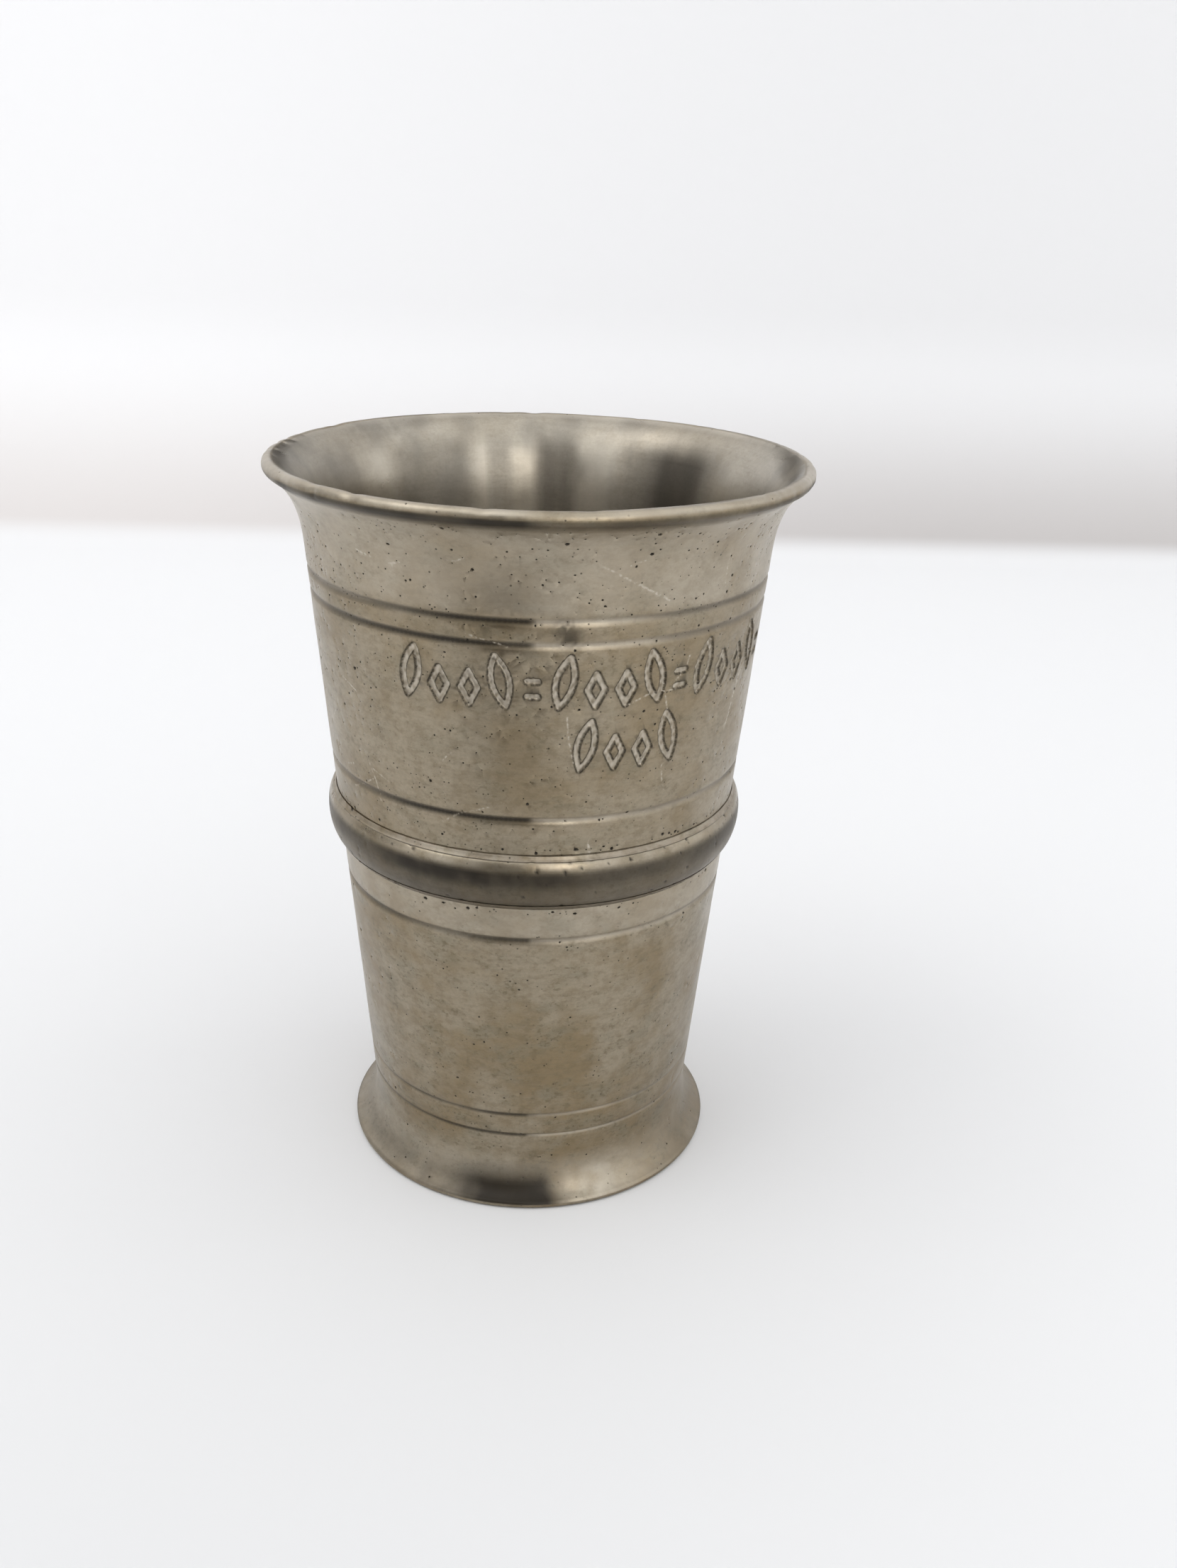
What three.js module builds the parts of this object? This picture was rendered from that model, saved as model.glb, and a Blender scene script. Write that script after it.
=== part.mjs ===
// Pewter shot cup, in millimetres, +Z up, standing on Z = 0 with its axis on the Z axis.
// Two cast and turned barrels lap over each other at the waist, where a half-round band covers the
// soldered seam. The lower barrel flares into a hollow foot, and a base disc is soldered into it.
// Every piece is turned, so each one is a closed outline of [radius, height] points.
import * as THREE from "three";

const degrees = THREE.MathUtils.degToRad;

// Overall form
const HEIGHT = 60; // from the table to the top of the lip
const WAIST_HEIGHT = 30.75; // the middle of the band
const WAIST_RADIUS = 16.45; // outside of the wall behind the middle of the band
const TAPER = degrees(5.2); // lean of the straight wall
const WALL = 1.2; // thickness of the straight wall, measured along the radius

// Lip: a rolled edge at the end of a flare
const LIP_REACH = 2.32; // how far the rolled edge stands out from the line of the wall
const LIP_FLARE = degrees(60); // lean of the wall where it meets the rolled edge
const LIP_ROUND = 0.58; // radius of the rolled edge

// Foot: a flare down to a low upright edge
const FOOT_REACH = 2.3; // how far the edge stands out from the line of the wall
const FOOT_FLARE = degrees(70); // lean of the wall where it meets the edge
const FOOT_EDGE = 0.5; // height of the edge
const FOOT_ROUND = 0.35; // rounding under the edge
const FOOT_CHAMFER = 0.8; // widens the mouth of the hollow foot

// Base disc, pushed up against a ledge inside the foot
const SEAT_HEIGHT = 3.6;
const SEAT_LEDGE = 0.6; // how far the ledge stands in over the disc
const BASE_THICKNESS = 1.5;
const BOSS_RADIUS = 1.6; // shallow turning centre under the disc
const BOSS_DEPTH = 0.25;

// Waist joint and the band over it
const LAP_LENGTH = 2; // length of the lower barrel's spigot
const LAP_SOLDER = 0.15; // thickness of the solder in the lap
const BAND_WIDTH = 4.1; // height of the half-round band
const BAND_PROUD = 0.86; // how far it stands out from the wall
const BAND_FILLET = 0.35; // leg of the solder fillets along the band
const BASE_FILLET = 0.7; // leg of the solder fillet under the base disc
const FIT = 0.05; // clearance between pieces that touch

// Turned lines: each is a shallow round-bottomed groove
const BOLD_LINE = { width: 0.62, depth: 0.16 };
const FINE_LINE = { width: 0.36, depth: 0.07 };
const RIM_LINE_DROP = 1; // upper line of the pair, below the start of the lip's flare
const RIM_LINE_PITCH = 1.75;
const WAIST_LINE_OFFSET = 5.3; // one line each side of the middle of the band
const FOOT_LINE_RISE = 0.65; // lower line of the pair, above the foot's flare
const FOOT_LINE_PITCH = 2.1;

// Fineness of the facets
const SEGMENTS = 60; // round every piece
const FLARE_STEPS = 7;
const ROUND_STEPS = 3; // in a quarter turn
const BAND_STEPS = 10;

// Outside and inside radius of the straight wall at a height.
const wallAt = (z) => WAIST_RADIUS + (z - WAIST_HEIGHT) * Math.tan(TAPER);
const boreAt = (z) => wallAt(z) - WALL;

// Points along an arc, with angles measured from the outward direction.
function arc([r, z], radius, from, to, steps) {
  return Array.from({ length: steps + 1 }, (_, i) => {
    const angle = THREE.MathUtils.lerp(from, to, i / steps);
    return [r + radius * Math.cos(angle), z + radius * Math.sin(angle)];
  });
}

// A flare that leaves a straight side at a tangent, bends more and more, and leans out by `lean`
// when it reaches `end`. `side` gives the radius of the straight side at a height, and `up` is 1 for
// a flare that opens upwards and -1 for one that opens downwards. The points run to the end.
function flare(side, end, lean, up) {
  const start = up * TAPER;
  const path = [new THREE.Vector2()];
  for (let i = 0; i < FLARE_STEPS; i += 1) {
    const angle = THREE.MathUtils.lerp(start, lean, ((i + 0.5) / FLARE_STEPS) ** 2);
    path.push(path[i].clone().add(new THREE.Vector2(Math.sin(angle), Math.cos(angle))));
  }
  const last = path[FLARE_STEPS];
  const step = (end[0] - side(end[1])) / (last.x - up * last.y * Math.tan(TAPER));
  return path.map(({ x, y }) => [end[0] + step * (x - last.x), end[1] + up * step * (y - last.y)]);
}

// A groove across the straight wall, from its lower edge to its upper edge.
function groove(middle, { width, depth }) {
  return [-1, -0.5, 0, 0.5, 1].map((t) => {
    const z = middle + (t * width) / 2;
    return [wallAt(z) - depth * (1 - t * t), z];
  });
}

// A point on the band's outside: `angle` is -90 degrees at its lower edge and 90 at its upper edge.
function bandPoint(angle) {
  const z = WAIST_HEIGHT + (BAND_WIDTH / 2) * Math.sin(angle);
  return [wallAt(z) + FIT + BAND_PROUD * Math.cos(angle), z];
}

// Lap joint behind the band: the spigot and the socket share the wall, with solder between them.
const lapBottom = WAIST_HEIGHT - LAP_LENGTH / 2;
const lapTop = WAIST_HEIGHT + LAP_LENGTH / 2;
const lapMiddle = wallAt(WAIST_HEIGHT) - WALL / 2;
const spigotRadius = lapMiddle - LAP_SOLDER / 2 - FIT;
const socketRadius = lapMiddle + LAP_SOLDER / 2 + FIT;

// Seat of the base disc
const seatRadius = boreAt(SEAT_HEIGHT) + SEAT_LEDGE;
const discTop = SEAT_HEIGHT - FIT;
const discBottom = discTop - BASE_THICKNESS;
const discRadius = seatRadius - FIT;

function upperBarrel() {
  const rimRadius = wallAt(HEIGHT) + LIP_REACH;
  const lipCentre = [rimRadius - LIP_ROUND, HEIGHT - LIP_ROUND];
  const lip = arc(lipCentre, LIP_ROUND, -LIP_FLARE, Math.PI - LIP_FLARE, 2 * ROUND_STEPS);
  const outerFlare = flare(wallAt, lip[0], LIP_FLARE, 1);
  const innerFlare = flare(boreAt, lip[2 * ROUND_STEPS], LIP_FLARE, 1);
  const rimLine = outerFlare[0][1] - RIM_LINE_DROP;
  return [
    [socketRadius, lapBottom + FIT],
    [wallAt(lapBottom + FIT), lapBottom + FIT],
    ...groove(WAIST_HEIGHT + WAIST_LINE_OFFSET, BOLD_LINE),
    ...groove(rimLine - RIM_LINE_PITCH, BOLD_LINE),
    ...groove(rimLine, BOLD_LINE),
    ...outerFlare,
    ...lip.slice(1, -1),
    ...innerFlare.reverse(),
    [boreAt(lapTop + FIT), lapTop + FIT],
    [socketRadius, lapTop + FIT],
  ];
}

function lowerBarrel() {
  const footRadius = wallAt(0) + FOOT_REACH;
  const footFlare = flare(wallAt, [footRadius, FOOT_EDGE], FOOT_FLARE, -1).reverse();
  const footLine = footFlare[FLARE_STEPS][1] + FOOT_LINE_RISE;
  return [
    [seatRadius + FOOT_CHAMFER, 0],
    ...arc([footRadius - FOOT_ROUND, FOOT_ROUND], FOOT_ROUND, -Math.PI / 2, 0, ROUND_STEPS),
    ...footFlare,
    ...groove(footLine, FINE_LINE),
    ...groove(footLine + FOOT_LINE_PITCH, FINE_LINE),
    ...groove(WAIST_HEIGHT - WAIST_LINE_OFFSET, BOLD_LINE),
    [wallAt(lapBottom), lapBottom],
    [spigotRadius, lapBottom],
    [spigotRadius, lapTop],
    [boreAt(lapTop), lapTop],
    [boreAt(SEAT_HEIGHT), SEAT_HEIGHT],
    [seatRadius, SEAT_HEIGHT],
    [seatRadius, FOOT_CHAMFER],
  ];
}

function waistBand() {
  return Array.from({ length: BAND_STEPS + 1 }, (_, i) => bandPoint(Math.PI * (i / BAND_STEPS - 0.5)));
}

function baseDisc() {
  return [
    [0, discBottom + BOSS_DEPTH],
    [BOSS_RADIUS, discBottom + BOSS_DEPTH],
    [BOSS_RADIUS + BOSS_DEPTH, discBottom],
    [discRadius, discBottom],
    [discRadius, discTop],
    [0, discTop],
  ];
}

// The film of solder between the spigot and the socket.
function lapSolder() {
  return [
    [spigotRadius + FIT, lapBottom + FIT],
    [socketRadius - FIT, lapBottom + FIT],
    [socketRadius - FIT, lapTop],
    [spigotRadius + FIT, lapTop],
  ];
}

// The fillet of solder in the corner between the wall and one edge of the band: `side` is 1 for the
// upper edge and -1 for the lower one.
function bandSolder(side) {
  const reach = Math.acos(BAND_FILLET / BAND_PROUD);
  const alongBand = [Math.PI / 2, (Math.PI / 2 + reach) / 2, reach].map((angle) => {
    const [r, z] = bandPoint(side * angle);
    return [r, z + side * FIT];
  });
  const tip = WAIST_HEIGHT + side * (BAND_WIDTH / 2 + BAND_FILLET);
  const outline = [...alongBand, [wallAt(tip) + FIT, tip]];
  return side > 0 ? outline : outline.reverse();
}

// The fillet of solder in the corner between the foot and the underside of the base disc.
function baseSolder() {
  const top = discBottom - FIT;
  const outside = seatRadius - FIT;
  return [
    [outside, top - BASE_FILLET],
    [outside, top],
    [outside - BASE_FILLET, top],
    [outside - 0.35 * BASE_FILLET, top - 0.35 * BASE_FILLET],
  ];
}

// Turns an outline about +Z. An outline that doesn't start on the axis closes on itself.
function turn(name, outline, material) {
  const closed = outline[0][0] === 0 ? outline : [...outline, outline[0]];
  const points = closed.map(([r, z]) => new THREE.Vector2(r, z));
  const geometry = new THREE.LatheGeometry(points, SEGMENTS);
  geometry.rotateX(Math.PI / 2);
  const mesh = new THREE.Mesh(geometry, material);
  mesh.name = name;
  return mesh;
}

const metal = (color, roughness) => new THREE.MeshStandardMaterial({ color, roughness, metalness: 1 });
const satin = metal(0x9c9588, 0.42);
const bright = metal(0xa39d92, 0.28);
const solder = metal(0xb1aca2, 0.35);

const cup = new THREE.Group();
cup.add(
  turn("upper_barrel", upperBarrel(), satin),
  turn("lower_barrel", lowerBarrel(), satin),
  turn("waist_band", waistBand(), bright),
  turn("base_disc", baseDisc(), bright),
  turn("lap_solder", lapSolder(), solder),
  turn("upper_band_solder", bandSolder(1), solder),
  turn("lower_band_solder", bandSolder(-1), solder),
  turn("base_solder", baseSolder(), solder),
);

export default cup;
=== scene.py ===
"""Pewter shot cup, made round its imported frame. Units are metres, +Z is up, the cup stands on Z = 0.

Every piece is turned, so a piece starts as an outline of points (radius, height) and is carried round
the axis. Angles round the cup start at the side that faces -Y and grow towards +X.
"""

import math

import bpy
import numpy as np
from bpy.props import FloatProperty, FloatVectorProperty, IntProperty, PointerProperty
from mathutils import Matrix, Vector
from mathutils.geometry import delaunay_2d_cdt


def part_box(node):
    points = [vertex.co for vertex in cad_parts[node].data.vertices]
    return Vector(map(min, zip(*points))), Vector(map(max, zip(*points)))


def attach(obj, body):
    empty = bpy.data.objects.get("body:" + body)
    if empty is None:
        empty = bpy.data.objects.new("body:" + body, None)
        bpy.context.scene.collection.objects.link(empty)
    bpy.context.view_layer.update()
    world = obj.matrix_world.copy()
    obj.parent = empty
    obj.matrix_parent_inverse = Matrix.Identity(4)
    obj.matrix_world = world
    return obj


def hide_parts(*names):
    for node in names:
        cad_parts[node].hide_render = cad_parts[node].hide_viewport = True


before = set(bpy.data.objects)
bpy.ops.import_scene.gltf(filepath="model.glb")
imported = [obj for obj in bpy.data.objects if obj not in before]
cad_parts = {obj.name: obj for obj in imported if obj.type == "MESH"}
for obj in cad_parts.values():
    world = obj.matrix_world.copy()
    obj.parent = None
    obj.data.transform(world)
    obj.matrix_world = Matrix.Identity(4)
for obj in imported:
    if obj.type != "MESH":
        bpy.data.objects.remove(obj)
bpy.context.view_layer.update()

bl_info = {
    "name": "Pewter shot cup",
    "version": (1, 0, 0),
    "blender": (4, 5, 0),
    "location": "View3D > Sidebar > Pewter cup",
    "description": "Builds the visible pieces of a small turned pewter cup round its frame",
    "category": "Add Mesh",
}

MM = 0.001


def node_box(name):
    low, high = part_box(name)
    return Vector(low), Vector(high)


def radius_below(name, height):
    """The widest radius that a frame node has at or below a height."""
    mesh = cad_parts[name].data
    return max(math.hypot(v.co.x, v.co.y) for v in mesh.vertices if v.co.z <= height)


UPPER_BOX = node_box("upper_barrel")
BAND_BOX = node_box("waist_band")
DISC_BOX = node_box("base_disc")
LAP_BOX = node_box("lap_solder")


def length(name, text, default):
    return FloatProperty(name=name, description=text, default=default, min=0, subtype="DISTANCE", precision=5)


def angle(name, text, degrees):
    return FloatProperty(name=name, description=text, default=math.radians(degrees), subtype="ANGLE")


def number(name, text, default, least=0):
    return IntProperty(name=name, description=text, default=default, min=least)


def colour(name, text, value):
    return FloatVectorProperty(
        name=name, description=text, default=value, min=0, max=1, size=3, subtype="COLOR"
    )


class CupForm(bpy.types.PropertyGroup):
    """Sizes of the turned shapes. The overall ones come from the frame."""

    height: length("Height", "From the table to the top of the lip", UPPER_BOX[1].z)
    rim_radius: length("Rim radius", "Outside of the lip", UPPER_BOX[1].x)
    foot_radius: length("Foot radius", "Outside of the foot", radius_below("lower_barrel", 1 * MM))
    band_height: length("Band height", "Middle of the waist band", (BAND_BOX[0].z + BAND_BOX[1].z) / 2)
    band_width: length("Band width", "Height of the waist band", BAND_BOX[1].z - BAND_BOX[0].z)
    band_proud: length("Band stand-out", "How far the band stands out from the wall", 0.86 * MM)
    wall_radius: length("Wall radius", "Outside of the wall behind the middle of the band", 16.45 * MM)
    taper: angle("Taper", "Lean of the straight wall", 5.2)
    wall: length("Wall", "Thickness of the straight wall", 1.2 * MM)
    lip_flare: angle("Lip flare", "Lean of the wall where it meets the lip", 60)
    lip_round: length("Lip round", "Radius of the rolled edge", 0.58 * MM)
    foot_flare: angle("Foot flare", "Lean of the wall where it meets the edge of the foot", 70)
    foot_edge: length("Foot edge", "Height of the upright edge of the foot", 0.5 * MM)
    foot_round: length("Foot round", "Rounding under the edge of the foot", 0.35 * MM)
    foot_chamfer: length("Foot chamfer", "Widens the mouth of the hollow foot", 0.8 * MM)
    seat_ledge: length("Seat ledge", "How far the ledge stands in over the base disc", 0.6 * MM)
    boss_radius: length("Boss radius", "Hollowed turning centre under the base disc", 1.6 * MM)
    boss_depth: length("Boss depth", "Depth of the turning centre", 0.25 * MM)
    fit: length("Fit", "Clearance between pieces that touch", 0.05 * MM)
    lap_solder: length("Lap solder", "Thickness of the solder in the lap joint", 0.15 * MM)
    bold_width: length("Bold line width", "Width of the turned lines on the body", 0.62 * MM)
    bold_depth: length("Bold line depth", "Depth of the turned lines on the body", 0.16 * MM)
    fine_width: length("Fine line width", "Width of the turned lines above the foot", 0.36 * MM)
    fine_depth: length("Fine line depth", "Depth of the turned lines above the foot", 0.07 * MM)
    rim_line_drop: length("Rim line drop", "Upper line of the pair, below the lip's flare", 1 * MM)
    rim_line_pitch: length("Rim line pitch", "Between the pair of lines below the lip", 1.75 * MM)
    waist_line_offset: length("Waist line offset", "One line each side of the band's middle", 5.3 * MM)
    foot_line_rise: length("Foot line rise", "Lower line of the pair, above the foot's flare", 0.65 * MM)
    foot_line_pitch: length("Foot line pitch", "Between the pair of lines above the foot", 2.1 * MM)


class CupOrnament(bpy.types.PropertyGroup):
    """The engraved rows of leaves and lozenges, and the pits, scratches and knocks of the metal."""

    row_height: length("Row height", "Middle of the upper engraved row", 47.15 * MM)
    row_start: angle("Row start", "Where the upper row starts", -34)
    row_count: number("Motifs", "Motifs in the upper row", 15, 1)
    second_height: length("Second row height", "Middle of the lower engraved row", 42.15 * MM)
    second_start: angle("Second row start", "Where the lower row starts", 8.2)
    second_count: number("Second motifs", "Motifs in the lower row", 4, 1)
    motif_pitch: length("Motif pitch", "From one motif to the next, along the wall", 2.38 * MM)
    motif_height: length("Motif height", "Height of a leaf", 3.9 * MM)
    stroke_width: length("Stroke width", "Width of an engraved stroke", 0.52 * MM)
    stroke_depth: length("Stroke depth", "Depth of an engraved stroke", 0.16 * MM)
    pit_radius: length("Pit radius", "Typical casting pit", 0.05 * MM)
    pit_count: number("Pits", "Casting pits in the upper barrel", 2300)
    low_pit_count: number("Low pits", "Casting pits in the lower barrel", 420)
    seam_pit_count: number("Seam pits", "Pits along each side of the band", 90)
    scratch_count: number("Scratches", "Fine scratches in the upper barrel", 46)
    nick_count: number("Nicks", "Small knocks round the lip", 64)
    seed: number("Seed", "Start of the random draws", 11)


class CupFinish(bpy.types.PropertyGroup):
    """Colours of the metal and of the table and wall."""

    pewter: colour("Pewter", "Clean satin metal", (0.348, 0.294, 0.212))
    warm_stain: colour("Warm stain", "Yellow-brown film", (0.24, 0.176, 0.092))
    bore: colour("Bore", "Cleaner, greyer metal inside the cup", (0.43, 0.39, 0.325))
    cool_stain: colour("Cool stain", "Green-grey film", (0.235, 0.212, 0.15))
    # This dark colour also paints the shade and dark reflections on lines, lip, foot, band and inside.
    tarnish_and_painted_shade: colour("Tarnish", "Dark dirt in lines, pits and strokes", (0.03, 0.024, 0.017))
    # This bright colour also paints the highlights on lines, lip, foot and inside.
    worn_and_painted_highlight: colour("Worn pewter", "Bright metal on edges and in scratches", (0.6, 0.545, 0.46))
    solder: colour("Solder", "Dull soft solder", (0.3, 0.255, 0.195))
    table: colour("Table", "Pale table top", (0.82, 0.82, 0.825))
    # Painted shade: the foot of the wall gets this darker colour.
    shaded_backdrop: colour("Backdrop", "Foot of the pale wall behind the table", (0.68, 0.645, 0.63))
    high_backdrop: colour("High backdrop", "The wall above, where it is lit", (0.88, 0.875, 0.88))


# ---------------------------------------------------------------- outlines


def wall_at(form, z):
    """Outside radius of the straight wall at a height."""
    return form.wall_radius + (z - form.band_height) * math.tan(form.taper)


def bore_at(form, z):
    return wall_at(form, z) - form.wall


def arc(centre, radius, start, end, steps):
    turns = np.linspace(start, end, steps + 1)
    return [(centre[0] + radius * math.cos(a), centre[1] + radius * math.sin(a)) for a in turns]


def flare(form, side, end, lean, up, steps):
    """A curve that leaves the straight side at a tangent and leans out by `lean` at `end`."""
    start = up * form.taper
    middles = (np.arange(steps) + 0.5) / steps
    leans = start + (lean - start) * middles**2
    across = np.concatenate([[0], np.cumsum(np.sin(leans))])
    along = np.concatenate([[0], np.cumsum(np.cos(leans))])
    step = (end[0] - side(form, end[1])) / (across[-1] - up * along[-1] * math.tan(form.taper))
    return [
        (end[0] + step * (x - across[-1]), end[1] + up * step * (y - along[-1]))
        for x, y in zip(across, along)
    ]


def straight(form, side, low, high, pitch):
    """Points up a straight side, without its two ends."""
    count = max(2, round(abs(high - low) / pitch) + 1)
    return [(side(form, z), z) for z in np.linspace(low, high, count)[1:-1]]


def lap_radii(form):
    """Radii of the lap joint: outside of the lower barrel's spigot, inside of the upper one's socket."""
    middle = wall_at(form, form.band_height) - form.wall / 2
    return middle - form.lap_solder / 2 - form.fit, middle + form.lap_solder / 2 + form.fit


# ---------------------------------------------------------------- turned skins


def normals_of(outline):
    """Outward normals of a closed outline that runs up the outside and down the inside."""
    points = np.array(outline)
    ahead = np.roll(points, -1, axis=0) - points
    behind = points - np.roll(points, 1, axis=0)
    ahead /= np.maximum(np.linalg.norm(ahead, axis=1), 1e-12)[:, None]
    behind /= np.maximum(np.linalg.norm(behind, axis=1), 1e-12)[:, None]
    tangent = ahead + behind
    tangent /= np.maximum(np.linalg.norm(tangent, axis=1), 1e-12)[:, None]
    return np.stack([tangent[:, 1], -tangent[:, 0]], axis=1)


class Skin:
    """Collects the vertices and faces of one piece. Each vertex has a dark value and a bright value."""

    def __init__(self):
        self.points = []
        self.marks = []
        self.faces = []
        self.coats = []
        self.count = 0

    # The dark value holds dirt and also painted shade and painted reflections; the bright value holds wear and
    # also painted highlights.
    def add(self, points, tarnish_and_painted_shade=0.0, wear_and_painted_highlight=0.0):
        first = self.count
        self.points.append(points)
        self.marks.append(np.stack(np.broadcast_arrays(tarnish_and_painted_shade + np.zeros(len(points)), wear_and_painted_highlight), axis=1))
        self.count += len(points)
        return first

    def ring(self, r, z, angles, tarnish_and_painted_shade=0.0, wear_and_painted_highlight=0.0):
        """A ring of points; r and z are numbers or one value for each angle."""
        points = np.stack([r * np.sin(angles), -r * np.cos(angles), z + 0 * angles], axis=1)
        return self.add(points, tarnish_and_painted_shade, wear_and_painted_highlight)

    def face(self, corners, coat=0):
        self.faces.append(corners)
        self.coats.append(coat)

    def bridge(self, low, low_angles, high, high_angles, coat=0):
        """Faces between two rings. Like rings get quads, and unlike ones get a strip of triangles."""
        n, m = len(low_angles), len(high_angles)
        low, high = np.broadcast_to(low, n) + 0, np.broadcast_to(high, m) + 0
        low = low if low[0] != low[-1] or n == 1 else low + np.arange(n)
        high = high if high[0] != high[-1] or m == 1 else high + np.arange(m)
        if n == m:
            self.face(np.stack([low, np.roll(low, -1), np.roll(high, -1), high], axis=1), coat)
            return
        i = j = 0
        strip = []
        while i < n or j < m:
            next_low = low_angles[i + 1] if i + 1 < n else low_angles[0] + 2 * math.pi if i < n else 1e9
            next_high = high_angles[j + 1] if j + 1 < m else high_angles[0] + 2 * math.pi if j < m else 1e9
            a, b = low[i % n], high[j % m]
            if next_low <= next_high:
                strip.append((a, low[(i + 1) % n], b))
                i += 1
            else:
                strip.append((a, high[(j + 1) % m], b))
                j += 1
        self.face(np.array(strip), coat)

    def cap(self, ring, angles, z, down):
        """Closes a ring with a fan of triangles round a point on the axis."""
        pole = self.add(np.array([[0.0, 0.0, z]]), 0.1)
        i = ring + np.arange(len(angles))
        fan = np.stack([np.roll(i, -1), i, np.full(len(i), pole)], axis=1)
        self.face(fan if down else fan[:, ::-1])

    def mesh(self, name):
        points = np.concatenate(self.points)
        mesh = bpy.data.meshes.new(name)
        corners = np.concatenate([group.ravel() for group in self.faces])
        sizes = np.concatenate([np.full(len(group), group.shape[1]) for group in self.faces])
        coats = np.concatenate([np.full(len(group), coat) for group, coat in zip(self.faces, self.coats)])
        mesh.vertices.add(len(points))
        mesh.vertices.foreach_set("co", points.ravel())
        mesh.loops.add(len(corners))
        mesh.loops.foreach_set("vertex_index", corners.astype(np.int32))
        mesh.polygons.add(len(sizes))
        starts = np.concatenate([[0], np.cumsum(sizes)[:-1]])
        mesh.polygons.foreach_set("loop_start", starts.astype(np.int32))
        mesh.polygons.foreach_set("use_smooth", np.ones(len(sizes), bool))
        mesh.polygons.foreach_set("material_index", coats.astype(np.int32))
        mesh.update(calc_edges=True)
        # Stored as two attributes: dirt with painted shade, and wear with painted highlight.
        marks = np.concatenate(self.marks).astype(np.float32)
        for column, key in enumerate(("tarnish_and_painted_shade", "wear_and_painted_highlight")):
            mesh.attributes.new(key, "FLOAT", "POINT").data.foreach_set("value", marks[:, column])
        mesh.validate()
        return mesh


PIT_SIDES = 5
PIT_ROOM = 1.6  # other points stay this many radii away from a pit
PIT_RINGS = ((1.38, 0, 0), (1, 0.25, 0.85), (0.55, 0.95, 1))  # size and depth in radii, and darkness
SEAM_PITCH = 0.5 * MM  # between points where the rolled-out wall closes on itself


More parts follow.
